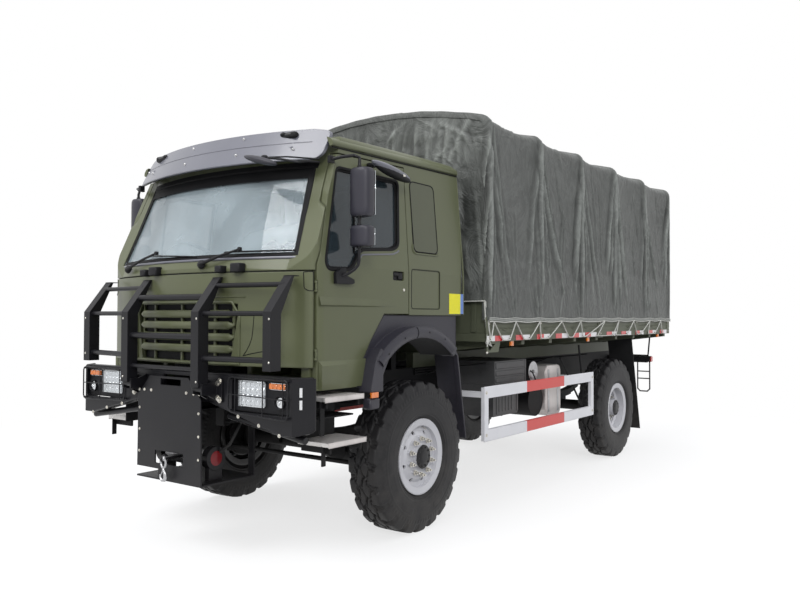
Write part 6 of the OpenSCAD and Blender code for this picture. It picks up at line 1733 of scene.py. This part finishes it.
def stage():
    """Pale floor that stays white for the camera and keeps the shadow, white world and soft lamps."""
    mesh = bpy.data.meshes.new("floor")
    mesh.from_pydata([(x, y, -0.0015) for x in (-80.0, 60.0) for y in (-60.0, 90.0)], [], [[0, 1, 3, 2]])
    floor = bpy.data.objects.new("floor", mesh)
    bpy.context.scene.collection.objects.link(floor)
    m = bpy.data.materials.new("floor_look")
    look = Look(m)
    look.tree.nodes.clear()

    def diffuse(grey):
        return look.node("BsdfDiffuse", {"Color": (grey, grey, grey, 1)})[0]
    rays = look.node("LightPath")
    watched = look.math("MAXIMUM", rays["Is Camera Ray"], rays["Is Glossy Ray"])
    watched = look.math("MAXIMUM", watched, rays["Is Transmission Ray"])
    # Away from the truck the floor fades into the white background
    away = look.node("VectorMath", {0: look.place()}, operation="LENGTH")["Value"]
    fade = look.span(away, 3.6, 7.5, kind="SMOOTHSTEP")
    glow = look.node("Emission", {"Color": (1, 1, 1, 1), "Strength": 1.0})[0]
    seen = look.node("MixShader", {"Fac": look.span(fade, 0.0, 1.0, 0.72, 1.0), 1: diffuse(0.99), 2: glow})[0]
    surface = look.node("MixShader", {"Fac": watched, 1: diffuse(0.30), 2: seen})[0]
    look.node("OutputMaterial", {"Surface": surface})
    mesh.materials.append(m)

    world = bpy.data.worlds.new("white_studio")
    bpy.context.scene.world = world
    look = Look(world)
    look.tree.nodes.clear()
    # What lights the truck: a grey horizon under a pale sky
    height = look.node("SeparateXYZ", {"Vector": look.node("TexCoord")["Generated"]})["Z"]
    ramp = look.tree.nodes.new("ShaderNodeValToRGB")
    stops = ramp.color_ramp.elements
    stops[0].position, stops[1].position = 0.40, 0.95
    stops[0].color, stops[1].color = (0.20, 0.20, 0.21, 1), (1.15, 1.17, 1.22, 1)
    stops.new(0.58).color = (0.55, 0.56, 0.58, 1)
    look.fill(ramp, {"Fac": look.span(height, -1.0, 1.0)})
    sky = look.node("Background", {"Color": ramp.outputs["Color"], "Strength": 1.0})[0]
    white = look.node("Background", {"Color": (1, 1, 1, 1)})[0]
    rays = look.node("LightPath")
    watched = look.math("MAXIMUM", rays["Is Camera Ray"], rays["Is Transmission Ray"])
    watched = look.math("MAXIMUM", watched, rays["Is Glossy Ray"])
    look.node("OutputWorld", {"Surface": look.node("MixShader", {"Fac": watched, 1: sky, 2: white})[0]})

    # Name, direction, strength and width in degrees of each sun
    for name, direction, strength, soft in (("front_key", (0.25, 0.80, -1.05), 1.45, 28),
                                            ("side_fill", (-0.72, 0.80, -0.52), 0.95, 14)):
        data = bpy.data.lights.new(name, "SUN")
        data.energy, data.angle = strength, math.radians(soft)
        lamp = bpy.data.objects.new(name, data)
        lamp.rotation_euler = Vector(direction).to_track_quat("-Z", "Y").to_euler()
        bpy.context.scene.collection.objects.link(lamp)


stage()
bpy.context.scene.view_settings.view_transform = "Standard"
